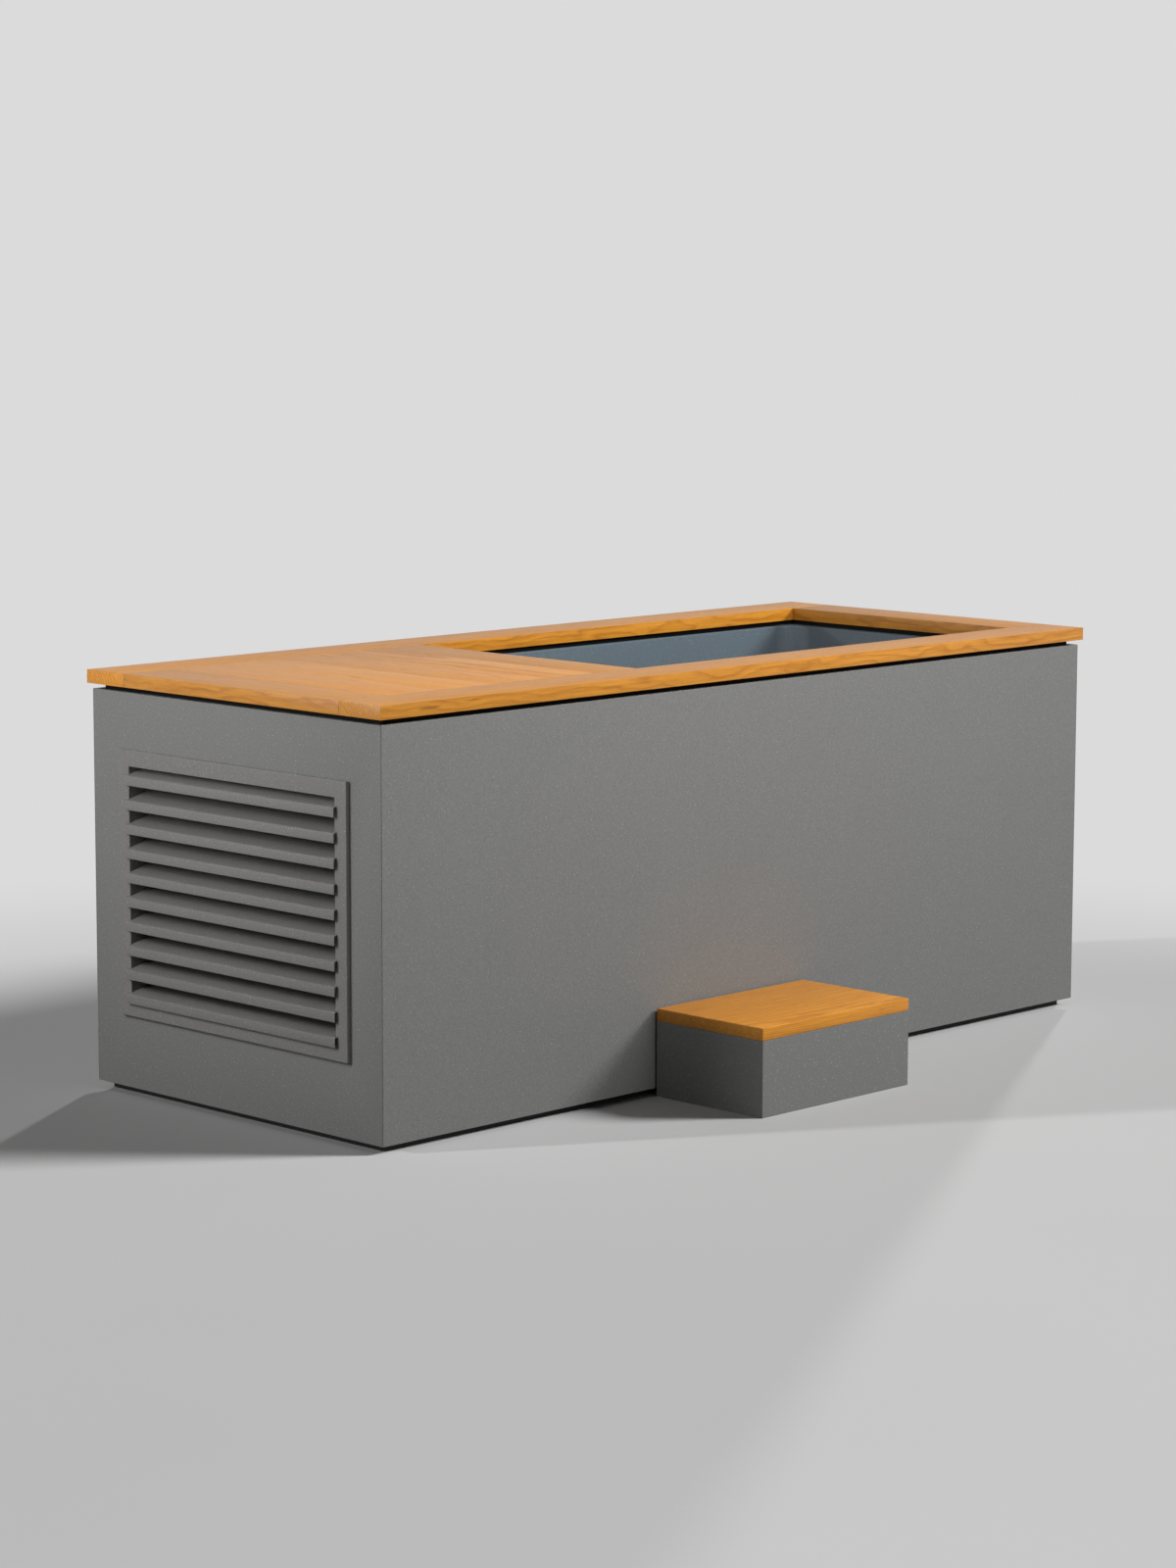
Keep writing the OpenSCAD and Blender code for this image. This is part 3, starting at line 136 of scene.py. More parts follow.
class TubStudio(bpy.types.PropertyGroup):
    """Camera, lamps and floor of the studio."""

    camera_place: bpy.props.FloatVectorProperty(
        name="Camera place", description="Place of the camera", subtype="TRANSLATION",
        unit="LENGTH", size=3, default=(-5.96729, -5.81776, 1.72132),
    )
    camera_yaw: angle_value("Camera yaw", "Direction of the view, from +Y towards +X", 45.391)
    camera_pitch: angle_value("Camera pitch", "Rise of the view above the level", -7.926)
    camera_roll: angle_value("Camera roll", "Roll of the camera about its view", 0.131)
    camera_lens: number_value(
        "Camera lens", "Focal length on a 36 mm sensor, in millimetres", 90.92, min=1
    )
    key_power: power_value("Key lamp", "Large lamp at the front right", 1330)
    floor_light: strength_value("Floor light", "Distant light with the key, on the floor", 3.3)
    end_power: power_value("End lamp", "Lamp over the louvred end, on the tub", 21)
    louvre_power: power_value("Louvre lamp", "Lamp level with the louvre, on the tub", 6.8)
    top_power: power_value("Top lamp", "Lamp over the bather's side, on the tub", 54)
    left_light: strength_value("Left light", "Low light from the back left, on the tub", 0.3)
    left_floor: strength_value("Left floor light", "The same light, on the floor", 1.8)
    right_light: strength_value("Right light", "Low light from the back right, on the floor", 1.9)
    ambient: strength_value("Ambient", "Light from all round", 0.04)


GROUPS = {"tub_colours": TubColours, "tub_sizes": TubSizes, "tub_studio": TubStudio}


def colours():
    """The scene's colours of the tub."""
    return bpy.context.scene.tub_colours


def sizes():
    """The scene's fine sizes of the tub."""
    return bpy.context.scene.tub_sizes


def studio():
    """The scene's studio settings."""
    return bpy.context.scene.tub_studio


def linear(colour):
    """A screen colour as the linear colour that a shader takes."""
    return tuple(c / 12.92 if c <= 0.04045 else ((c + 0.055) / 1.055) ** 2.4 for c in colour)


def screen(red, green, blue):
    """A fixed screen colour from 0 to 255, as a linear colour."""
    return linear((red / 255, green / 255, blue / 255))


def shade(colour, factor):
    """A colour made lighter or darker."""
    return tuple(min(1.0, c * factor) for c in colour)


# Shader maths


def both_ways(operation):
    """An operator of Value with its reflected form, as in mask - 1 and 1 - mask."""
    return (
        lambda value, other: value.wiring.sum(operation, value, other),
        lambda value, other: value.wiring.sum(operation, other, value),
    )


class Value:
    """One number output of a node, on which sums are written as plain Python."""

    def __init__(self, wiring, socket):
        self.wiring = wiring
        self.socket = socket

    def math(self, operation, *others):
        """A Math node on this value and up to two others."""
        return self.wiring.sum(operation, self, *others)

    __add__, __radd__ = both_ways("ADD")
    __sub__, __rsub__ = both_ways("SUBTRACT")
    __mul__, __rmul__ = both_ways("MULTIPLY")
    __truediv__, __rtruediv__ = both_ways("DIVIDE")


def set_stops(ramp, stops):
    """Sets a ramp's stops from pairs of place and grey."""
    while len(ramp.elements) > 1:
        ramp.elements.remove(ramp.elements[-1])
    for i, (at, grey) in enumerate(stops):
        stop = ramp.elements[0] if i == 0 else ramp.elements.new(at)
        stop.position = at
        stop.color = (grey, grey, grey, 1)


class Wiring:
    """A node tree, emptied, with one method that makes any node in it."""

    def __init__(self, tree):
        self.tree = tree
        tree.nodes.clear()

    def put(self, socket, value):
        """Links a value to a socket, or sets the socket to it."""
        if isinstance(value, Value):
            value = value.socket
        if isinstance(value, bpy.types.NodeSocket):
            self.tree.links.new(value, socket)
        elif socket.type == "RGBA":
            socket.default_value = (*value, 1)
        else:
            socket.default_value = value

    def node(self, kind, settings=None, inputs=None, output=0):
        """Any node: its type, its settings first, then the values or links of its sockets.

        It returns the output that is asked for, or the node itself for None.
        """
        made = self.tree.nodes.new(kind)
        for name, value in (settings or {}).items():
            if name == "stops":
                set_stops(made.color_ramp, value)
            else:
                setattr(made, name, value)
        for name, value in (inputs or {}).items():
            self.put(made.inputs[name], value)
        return made if output is None else made.outputs[output]

    def sum(self, operation, *terms, clamp=False):
        """A Math node on values or plain numbers."""
        settings = {"operation": operation, "use_clamp": clamp}
        return Value(self, self.node("ShaderNodeMath", settings, dict(enumerate(terms))))

    def seen(self):
        """1 where the camera, or a gloss or clear material, sees the surface."""
        path = self.node("ShaderNodeLightPath", output=None).outputs
        sight = Value(self, path["Is Camera Ray"])
        for name in ("Is Glossy Ray", "Is Transmission Ray"):
            sight = sight.math("MAXIMUM", Value(self, path[name]))
        return sight


class Finish(Wiring):
    """A material of the tub, with the nodes that make its surface."""

    def __init__(self, name, colour, rough, metal=0.0, coat=0.0, gloss=0.5):
        self.material = bpy.data.materials.new(name + "_finish")
        self.material.use_nodes = True
        super().__init__(self.material.node_tree)
        inputs = {
            "Base Color": colour, "Roughness": rough, "Metallic": metal,
            "Coat Weight": coat, "Coat Roughness": 0.12, "Specular IOR Level": gloss,
        }
        self.shader = self.node("ShaderNodeBsdfPrincipled", None, inputs, None)
        self.output = self.node("ShaderNodeOutputMaterial", output=None)
        self.put(self.output.inputs["Surface"], self.shader.outputs["BSDF"])
        self.colour = colour
        self.place = self.node("ShaderNodeTexCoord", output="Object")
        self.material.diffuse_color = (*colour, 1)

    def feed(self, name, value):
        """Gives one of the shader's sockets its value or link."""
        self.put(self.shader.inputs[name], value)

    def split(self):
        """The three numbers of the object's own coordinates."""
        made = self.node("ShaderNodeSeparateXYZ", None, {0: self.place}, None)
        return [Value(self, out) for out in made.outputs]

    def join(self, x, y, z):
        """A vector from three numbers or values."""
        return self.node("ShaderNodeCombineXYZ", None, {"X": x, "Y": y, "Z": z})

    def noise(self, scale, detail, rough=0.5, vector=None):
        """Smooth noise from 0 to 1, with its scale per metre."""
        inputs = {
            "Vector": vector or self.place, "Scale": scale, "Detail": detail, "Roughness": rough
        }
        return Value(self, self.node("ShaderNodeTexNoise", None, inputs, "Fac"))

    def drawn(self, detail, rough, x, y, z):
        """Smooth noise on three numbers, each with its own scale per metre."""
        return self.noise(1, detail, rough, self.join(x, y, z))

    def ramp(self, value, *stops):
        """A value read off a ramp, from pairs of place and grey."""
        made = self.node("ShaderNodeValToRGB", {"stops": stops}, {"Fac": value}, "Color")
        return Value(self, made)

    def level(self, value, low, high):
        """The value spread from 0 at low to 1 at high, and held there."""
        return self.sum("DIVIDE", value - low, high - low, clamp=True)

    def mix(self, share, first, second):
        """Two colours mixed by a share."""
        settings = {"data_type": "RGBA", "clamp_factor": True}
        return self.node("ShaderNodeMix", settings, {0: share, 6: first, 7: second}, 2)

    def tones(self, share, low, high):
        """The finish's own colour between two of its tones, by a share."""
        return self.mix(share, shade(self.colour, low), shade(self.colour, high))

    def surface(self, base, rough, height, depth, strength):
        """Gives the shader its colour, roughness and bump, and returns the material.

        The height lies between 0 and 1, and depth is its full depth in millimetres.
        """
        inputs = {"Strength": strength, "Distance": depth * MM, "Height": height}
        self.feed("Base Color", base)
        self.feed("Roughness", rough)
        self.feed("Normal", self.node("ShaderNodeBump", None, inputs, "Normal"))
        return self.material


# Finishes


def speckled(name, colour, spread, size, rough, depth, coat=0.0, painted_glint=0.0, gloss=0.5):
    """A satin coat or moulding with a fine speckle, faint clouds and an orange-peel relief.

    spread is how far the tone goes to either side, size and depth are those of the speckle
    in millimetres, and glint is how much paler the few brightest grains are painted: painted
    glints.
    """
    skin = Finish(name, colour, rough, 0.0, coat, gloss)
    grain = 1 / (size * MM)
    speck = skin.noise(grain, 2, 0.6)
    cloud = skin.noise(5, 3)
    share = skin.level(speck, 0.3, 0.7) * 0.8 + cloud * 0.2
    base = skin.tones(share, 1 - spread, 1 + spread)
    # Painted highlight: a few grains are painted paler in the base colour, as glints
    if painted_glint:
        painted_sparkle = skin.noise(grain * 0.9, 1, 0.5, skin.join(*[axis + 5 for axis in skin.split()]))
        base = skin.mix(skin.level(painted_sparkle, 0.64, 0.76), base, shade(colour, 1 + painted_glint))
    return skin.surface(base, rough - 0.06 + 0.12 * cloud, speck, depth, 0.6)


def timber(name, along, pith, light, dark, board=None, ring=1.0):
    """Oiled hardwood as a solid: growth rings round an off-board pith, fibres, pores and flecks.

    along is the axis of the grain and pith the place of the pith across it. board gives the
    first edge and the pitch of boards that each come from another tree, and ring is a factor
    on the pitch of the rings. Each pattern is long along the grain and fine across it.
    """
    wood = Finish(name, light, 0.4, gloss=0.45)
    axes = wood.split()
    run, side, up = axes[along], axes[1 - along], axes[2]
    tint = 0.5
    if board:
        first, pitch = board
        number = ((side - first) / pitch).math("FLOOR")
        one_number = {"noise_dimensions": "1D"}
        chance = wood.node("ShaderNodeTexWhiteNoise", one_number, {"W": number}, "Value")
        tint = Value(wood, chance)
        run = run + tint * 3.7
        up = up + tint * 0.11
    wander = wood.drawn(3, 0.55, run * 2.6, side * 7, up * 7)
    drift = wood.drawn(1, 0.5, run * 0.9, side * 2 + 7, up * 2)
    across = side - pith[0] + (wander - 0.5) * 0.06
    above = up - pith[1] + (drift - 0.5) * 0.07
    reach = (across * across + above * above).math("SQRT")
    waver = wood.drawn(2, 0.6, run * 9, side * 45, up * 45)
    turn = reach / (sizes().ring_pitch * ring) + (waver - 0.5) * 1.3
    year = ((0.0, 0.4), (0.14, 0.0), (0.45, 0.1), (0.74, 0.45), (0.9, 0.85), (1.0, 0.4))
    late = wood.ramp(turn.math("FRACT"), *year)
    fibre = wood.drawn(3, 0.65, run * 14, side * 420, up * 420)
    streak = wood.drawn(2, 0.6, run * 5, side * 150 + 3, up * 150)
    pore = wood.drawn(1, 0.5, run * 55, side * 1300, up * 1300)
    hole = wood.level(pore, 0.62, 0.72)
    fleck = wood.level(wood.drawn(1, 0.5, run * 9 + 2, side * 75, up * 75), 0.73, 0.8)
    share = late * 0.52 + (fibre - 0.5) * 0.7 + (streak - 0.5) * 0.9
    share = share + drift * 0.3 + 0.02 + tint * 0.12
    base = wood.mix(share, light, dark)
    base = wood.mix(fleck * 0.55, base, shade(dark, 0.5))
    base = wood.mix(hole * 0.4, base, shade(dark, 0.55))
    rough = 0.38 + late * 0.08 + hole * 0.2
    return wood.surface(base, rough, fibre * 0.5 + late * 0.3 - hole * 0.6, 0.25, 0.5)


def brushed(name, colour, along, rough):
    """Metal with fine lines along one axis and faint stains."""
    metal = Finish(name, colour, rough, 1.0)
    stretch = [900, 900, 900]
    stretch[along] = 12
    lines = metal.drawn(2, 0.6, *[axis * s for axis, s in zip(metal.split(), stretch)])
    stain = metal.noise(14, 3)
    rough = rough + 0.18 * lines + 0.08 * stain
    return metal.surface(metal.tones(stain, 0.85, 1.08), rough, lines, 0.05, 0.4)


def cellular(name, colour):
    """Foam board with small cells and a slow change of tone."""
    foam = Finish(name, colour, 0.85)
    inputs = {"Vector": foam.place, "Scale": 620}
    cell = Value(foam, foam.node("ShaderNodeTexVoronoi", None, inputs, "Distance"))
    cloud = foam.noise(9, 3)
    base = foam.tones(cloud * 0.6 + cell * 0.3, 0.88, 1.06)
    return foam.surface(base, 0.77 + 0.1 * cloud, cell, 0.5, 0.7)


def plywood(name, colour):
    """Sealed plywood: long grain on the faces and dark plies on the edges."""
    sheet = Finish(name, colour, 0.6)
    run, side, up = sheet.split()
    grain = sheet.drawn(3, 0.6, run * 5, side * 130, up * 90)
    ply = (up * 340).math("FRACT")
    base = sheet.tones(grain * 0.8 + sheet.level(ply, 0.45, 0.55) * 0.35, 1.12, 0.7)
    return sheet.surface(base, 0.52 + 0.16 * grain, grain, 0.2, 0.5)


def pleated_cloth(name, colour):
    """Pressed polyester of the filter pleats, with fine threads and some dirt."""
    cloth = Finish(name, colour, 0.9)
    up = cloth.split()[2]
    thread = (up * 2600).math("SINE") * 0.5 + 0.5
    dirt = cloth.noise(18, 3)
    base = cloth.mix(dirt * 0.45, colour, screen(196, 192, 178))
    return cloth.surface(base, 0.82 + 0.12 * thread, thread * 0.5 + dirt * 0.5, 0.15, 0.5)


FINISHES = {}


def finish_for(key):
    """The material of one finish, made when it is first asked for."""
    if key not in FINISHES:
        maker, *needs = recipes()[key]
        FINISHES[key] = maker(key, *needs)
    return FINISHES[key]


def recipes():
    """How each finish is made: a function, and what it takes after the finish's name."""
    tone = colours()
    light, dark = linear(tone.timber_light), linear(tone.timber_dark)
    strip, steel = linear(tone.strip), linear(tone.steel)
    white, red = linear(tone.moulding), linear(tone.handle)
    low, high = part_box("hatch_boards")
    hatch_boards = low.x, (high.x - low.x) / 4
    return {
        # Colour, spread, size, roughness, depth, coat, painted glint, gloss
        "cladding_grey": (
            speckled, linear(tone.cladding), 0.14, sizes().speckle / MM, 0.6, 0.16, 0, 0.8, 0.3
        ),
        "louvre_grey": (speckled, linear(tone.louvre), 0.16, 2.8, 0.6, 0.14, 0, 0.8, 0.3),
        "basin_shell": (speckled, linear(tone.basin), 0.16, 2.6, 0.5, 0.06, 0, 0.8, 0.4),
        "plinth_black": (speckled, strip, 0.3, 1.5, 0.7, 0.15),
        # Partly painted shade: the spacer is a black strip, painted at half the plinth's black so
        # that the gap under the deck reads as deep shade
        "spacer_black": (speckled, shade(strip, 0.5), 0.3, 1.2, 0.8, 0.12, 0, 0, 0.2),
        "frame_steel": (speckled, steel, 0.12, 1.2, 0.42, 0.08),
        "bulkhead_grey": (speckled, screen(140, 145, 150), 0.08, 3, 0.5, 0.06),
        "fitting_white": (speckled, white, 0.04, 2.5, 0.28, 0.03, 0.2),
        "nut_white": (speckled, shade(white, 0.88), 0.05, 1.5, 0.45, 0.06),
        "pipe_white": (speckled, shade(white, 0.92), 0.05, 5, 0.33, 0.03, 0.1),
        "valve_grey": (speckled, screen(107, 112, 118), 0.08, 1.4, 0.42, 0.08),
        "valve_ball_white": (speckled, screen(205, 207, 210), 0.03, 3, 0.2, 0.02, 0.4),
        "handle_red": (speckled, red, 0.08, 1.5, 0.36, 0.07, 0.15),
        "knob_red": (speckled, shade(red, 1.1), 0.06, 1.3, 0.32, 0.06, 0.2),
        "pump_black": (speckled, screen(48, 51, 54), 0.2, 1.1, 0.5, 0.12),
        "motor_blue": (speckled, screen(60, 75, 94), 0.12, 2, 0.4, 0.2, 0.1),
        "filter_grey": (speckled, screen(54, 59, 64), 0.16, 1.2, 0.46, 0.1),
        "lid_black": (speckled, screen(34, 36, 40), 0.2, 1, 0.4, 0.1),
        "shroud_steel": (speckled, screen(62, 66, 70), 0.1, 1.4, 0.45, 0.08),
        "fan_motor_black": (speckled, screen(46, 49, 52), 0.14, 1.2, 0.42, 0.08),
        "fan_black": (speckled, screen(30, 32, 34), 0.18, 1.4, 0.48, 0.08),
        "compressor_black": (speckled, screen(25, 27, 30), 0.15, 6, 0.24, 0.06, 0.5),
        "control_grey": (speckled, screen(205, 208, 210), 0.05, 1.3, 0.48, 0.08),
        "gland_black": (speckled, screen(34, 36, 40), 0.15, 1, 0.45, 0.06),
        # Axis of the grain, pith, early and late wood, boards, factor on the rings
        "rail_timber": (timber, 0, (0.55, 0.74), light, dark),
        # Painted shade: the front rail takes a darker copy of the same wood, standing in for less
        # light on its front edge
        "front_timber": (timber, 0, (-0.21, 0.74), shade(light, 0.85), shade(dark, 0.85)),
        # Painted shade: the three cross boards take a darker copy of the same wood, standing in
        # for less light on their edges
        "board_timber": (timber, 1, (-0.6, 0.7), shade(light, 0.85), shade(dark, 0.85)),
        # Painted light: the hatch boards take a lighter copy of the same wood, standing in for
        # more light on their tops; each board's own tint from its tree is real
        "hatch_timber": (
            timber, 1, (-0.4, 0.62), shade(light, 1.05), shade(dark, 1.05), hatch_boards
        ),
        "tread_timber": (timber, 0, (-0.70, -0.05), light, dark, None, 0.65),
        "batten_wood": (timber, 0, (0.02, 0.7), shade(light, 0.85), shade(dark, 0.8)),
        # Colour, axis of the lines, roughness
        "fastener_steel": (brushed, screen(196, 199, 203), 2, 0.28),
        "impeller_brass": (brushed, screen(200, 176, 112), 1, 0.34),
        "exchanger_steel": (brushed, screen(172, 177, 182), 2, 0.3),
        "coil_aluminium": (brushed, screen(190, 194, 197), 2, 0.34),
        "copper": (brushed, screen(196, 121, 72), 0, 0.26),
        # Colour
        "floor_ply": (plywood, screen(158, 144, 116)),
        "foam_cream": (cellular, screen(230, 223, 198)),
        "cartridge_white": (pleated_cloth, screen(238, 240, 240)),
    }


# Mesh work

MERGE_WITHIN = 0.002 * MM
FLAT_WITHIN = math.radians(0.5)
EASE_ABOVE = math.radians(30)
SMOOTH_BELOW = math.radians(20)


def merged(node):
    """A CAD node's mesh, merged, with its flat faces whole again."""
    mesh = bmesh.new()
    mesh.from_mesh(NODES[node].data)
    bmesh.ops.remove_doubles(mesh, verts=mesh.verts, dist=MERGE_WITHIN)
    bmesh.ops.dissolve_limit(
        mesh, angle_limit=FLAT_WITHIN, verts=mesh.verts, edges=mesh.edges
    )
    return mesh


def ease(mesh, width, segments=2):
    """Bevels the edges that turn."""
    edges = [
        e for e in mesh.edges if len(e.link_faces) == 2 and e.calc_face_angle(0) > EASE_ABOVE
    ]
    edged = {"profile": 0.5, "affect": "EDGES", "clamp_overlap": True}
    bmesh.ops.bevel(mesh, geom=edges, offset=width, segments=segments, **edged)


def plain(mesh, name):
    """A mesh that is being built, as a mesh of Blender's own."""
    data = bpy.data.meshes.new(name)
    mesh.to_mesh(data)
    mesh.free()
    return data


def placed(name, data):
    """An object of a mesh, lamp or camera, in the scene."""
    thing = bpy.data.objects.new(name, data)
    bpy.context.scene.collection.objects.link(thing)
    return thing


def applied(thing):
    """The mesh of an object with its modifiers applied."""
    seen = thing.evaluated_get(bpy.context.evaluated_depsgraph_get())
    return bpy.data.meshes.new_from_object(seen)


def piece(name, mesh, key, node):
    """Makes an object of a mesh, with its finish, which stands for a node on the node's body."""
    data = plain(mesh, name) if isinstance(mesh, bmesh.types.BMesh) else mesh
    data.materials.clear()
    data.materials.append(finish_for(key))
    data.polygons.foreach_set("use_smooth", [True] * len(data.polygons))
    data.set_sharp_from_angle(angle=SMOOTH_BELOW)
    data.update()
    thing = placed(name, data)
    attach(thing, BODY_OF[node])
    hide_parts(node)
    return thing


def eased(width, *nodes, segments=2, key=None):
    """Copies of CAD nodes with eased edges and a finish, which stand for the nodes."""
    for node in nodes:
        mesh = merged(node)
        ease(mesh, width, segments)
        piece(node + "_finished", mesh, key or SLOT_OF[node], node)


def parts(width, *nodes, segments=2):
    """Copies of CAD nodes with a bevel given in millimetres, and their own finish."""
    eased(width * MM * sizes().edge_scale, *nodes, segments=segments)


def axle_of(node, axis):
    """The middle of a node's box, with nothing along the axis."""
    low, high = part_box(node)
    middle = (low + high) / 2
    middle[axis] = 0
    return middle


def add_box(mesh, low, high):
    """Adds a block between two corners."""
    for v in bmesh.ops.create_cube(mesh, size=1)["verts"]:
        v.co = Vector((low[i] if v.co[i] < 0 else high[i]) for i in range(3))


def add_band(mesh, first, second):
    """Adds the faces between two closed loops of as many corners."""
    count = len(first)
    for i in range(count):
        j = (i + 1) % count
        mesh.faces.new((first[i], first[j], second[j], second[i]))


def outline(start, radius, *steps):
    """Points of a turned profile, in millimetres from a place along the axis and a radius."""
    return [(start + along * MM, radius + out * MM) for along, out in steps]


def add_lathe(mesh, profile, centre, axis, steps=64):
    """Adds a turned solid from pairs of place along an axis and radius, closed at both ends."""
    across = Vector((0, 1, 0)) if axis == 0 else Vector((1, 0, 0))
    way = Vector([1.0 if i == axis else 0.0 for i in range(3)])
    third = way.cross(across)
    spokes = []
    for i in range(steps):
        a = 2 * math.pi * i / steps
        spokes.append(across * math.cos(a) + third * math.sin(a))
    loops = [
        [mesh.verts.new(centre + way * at + spoke * radius) for spoke in spokes]
        for at, radius in profile
    ]
    for low, high in zip(loops, loops[1:]):
        add_band(mesh, low, high)
    mesh.faces.new(list(reversed(loops[0])))
    mesh.faces.new(loops[-1])


def islands(mesh):
    """The separate shells of a mesh, each as a list of corners."""
    left = set(mesh.verts)
    found = []
    while left:
        shell = [left.pop()]
        for v in shell:
            for e in v.link_edges:
                other = e.other_vert(v)
                if other in left:
                    left.remove(other)
                    shell.append(other)
        found.append(shell)
    return found


# Rows of like pieces


def row_tree():
    """The node tree that repeats a mesh along a line and round an axis."""
    if "tub_row" in bpy.data.node_groups:
        return bpy.data.node_groups["tub_row"]
    tree = bpy.data.node_groups.new("tub_row", "GeometryNodeTree")
    for name, way, kind in (
        ("Geometry", "INPUT", "Geometry"), ("Count", "INPUT", "Int"), ("Step", "INPUT", "Vector"),
        ("Turn", "INPUT", "Vector"), ("Centre", "INPUT", "Vector"),
        ("Finish", "INPUT", "Material"), ("Geometry", "OUTPUT", "Geometry"),
    ):
        tree.interface.new_socket(name, in_out=way, socket_type="NodeSocket" + kind)
    rows = Wiring(tree)
    given = rows.node("NodeGroupInput", output=None).outputs
    scale, transform = {"operation": "SCALE"}, "GeometryNodeTransform"
    places = {"Count": given["Count"], "Offset": given["Step"]}
    line = rows.node("GeometryNodeMeshLine", {"mode": "OFFSET"}, places)
    index = rows.node("GeometryNodeInputIndex")
    turn = rows.node("ShaderNodeVectorMath", scale, {0: given["Turn"], "Scale": index})
    euler = rows.node("FunctionNodeEulerToRotation", None, {0: turn})
    back = rows.node("ShaderNodeVectorMath", scale, {0: given["Centre"], "Scale": -1})
    one = rows.node(transform, None, {"Geometry": given["Geometry"], "Translation": back})
    inputs = {"Points": line, "Instance": one, "Rotation": euler}
    copies = rows.node("GeometryNodeInstanceOnPoints", None, inputs)
    around = rows.node(transform, None, {"Geometry": copies, "Translation": given["Centre"]})
    real = rows.node("GeometryNodeRealizeInstances", None, {"Geometry": around})
    inputs = {"Geometry": real, "Material": given["Finish"]}
    coated = rows.node("GeometryNodeSetMaterial", None, inputs)
    rows.node("NodeGroupOutput", None, {0: coated}, None)
    return tree


def in_row(mesh, key, count, step=(0, 0, 0), axle=None):
    """Repeats a mesh by a step, or in a ring round an axle along X, as a plain mesh."""
    turn = (2 * math.pi / count, 0, 0) if axle else (0, 0, 0)
    carrier = placed("row", plain(mesh, "one_of_row"))
    row = carrier.modifiers.new("Row", "NODES")
    row.node_group = row_tree()
    given = {"Count": count, "Step": step, "Turn": turn, "Finish": finish_for(key)}
    given["Centre"] = tuple(axle or (0, 0, 0))
    for item in row.node_group.interface.items_tree:
        if item.in_out == "INPUT" and item.name in given:
            row[item.identifier] = given[item.name]
    result = applied(carrier)
    bpy.data.objects.remove(carrier)
    return result


# Cladding and louvre


class TUB_OT_cladding(bpy.types.Operator):
    """Dress the four cladding panels with their speckled coat and eased edges"""

    bl_idname = "tub.cladding"
    bl_label = "Cladding panels"

    def execute(self, context):
        panels = ("front_panel", "back_panel", "louvre_end_panel", "plain_end_panel")
        eased(sizes().panel_ease, *panels)
        return {"FINISHED"}


class TUB_OT_louvre(bpy.types.Operator):
    """Dress the raised louvre plate and set its blades in a row"""

    bl_idname = "tub.louvre"
    bl_label = "Louvre"

    def execute(self, context):
        parts(1.2, "louvre_frame")
        mesh = merged("louvre_blades")
        shells = sorted(islands(mesh), key=lambda shell: -max(v.co.z for v in shell))
        first, second = [max(v.co.z for v in shell) for shell in shells[:2]]
        for shell in shells[1:]:
            bmesh.ops.delete(mesh, geom=shell, context="VERTS")
        ease(mesh, 0.7 * MM, 3)
        blades = in_row(mesh, "louvre_grey", len(shells), (0, 0, second - first))
        piece("louvre_blade_row", blades, "louvre_grey", "louvre_blades")
        return {"FINISHED"}


# Timber


class TUB_OT_deck(bpy.types.Operator):
    """Lay the two long rails and the three cross boards of the deck"""

    bl_idname = "tub.deck"
    bl_label = "Timber deck"

    def execute(self, context):
        edge = sizes().board_ease
        cross = ("left_end_board", "bridge_board", "right_end_board")
        # The front rail gets the darker copy of the timber, which is painted shade
        eased(edge, "front_rail", segments=3, key="front_timber")
        eased(edge, "back_rail", segments=3, key="rail_timber")
        # The cross boards get the darker copy of the timber, which is painted shade
        eased(edge, *cross, segments=3, key="board_timber")
        return {"FINISHED"}


class TUB_OT_hatch(bpy.types.Operator):
    """Lay the loose hatch boards with their battens and screws"""

    bl_idname = "tub.hatch"
    bl_label = "Hatch"

    def execute(self, context):
        # The hatch boards get the lighter copy of the timber, which is painted light
        eased(0.7 * sizes().board_ease, "hatch_boards", segments=3, key="hatch_timber")
        parts(0.8, "hatch_battens")
        parts(0.3, "hatch_screws")
        return {"FINISHED"}


# Basin

BASIN_CORNER = 0.060  # radius of the upright corners
BASIN_FILLET = 0.050  # radius between the walls and the floor
BASIN_DRAFT = 0.035  # how far three of the walls lean in at the floor
BASIN_WALL = 0.006
BASIN_FLANGE = 0.008
BASIN_REVEAL = 0.009  # how far the timber stands out over the basin's walls
BASIN_FLOOR = 0.167  # height of the floor
FITTING_HOLE = 0.0253  # radius
FITTING_CUT = (-0.04, 0.02)  # ends of the drilled hole, from the fitting's face
CORNER_STEPS = 16
RIM_STEPS = 6
WALL_STEPS = 8
FILLET_STEPS = 9


def basin_loop(box, radius, lean, z):
    """One level of the basin: a rectangle with round corners, as a list of points.

    box gives x0, x1 and y of the opening, and lean is how far the three drafted walls
    have come in at this level.
    """
    left = box[0] + BASIN_CORNER
    right = box[1] - BASIN_CORNER - lean
    side = box[2] - BASIN_CORNER - lean
    points = []
    for cx, cy, first in (
        (right, side, 0), (left, side, 90), (left, -side, 180), (right, -side, 270)
    ):
        for i in range(CORNER_STEPS + 1):
            a = math.radians(first + 90 * i / CORNER_STEPS)
            points.append((cx + radius * math.cos(a), cy + radius * math.sin(a), z))
    return points


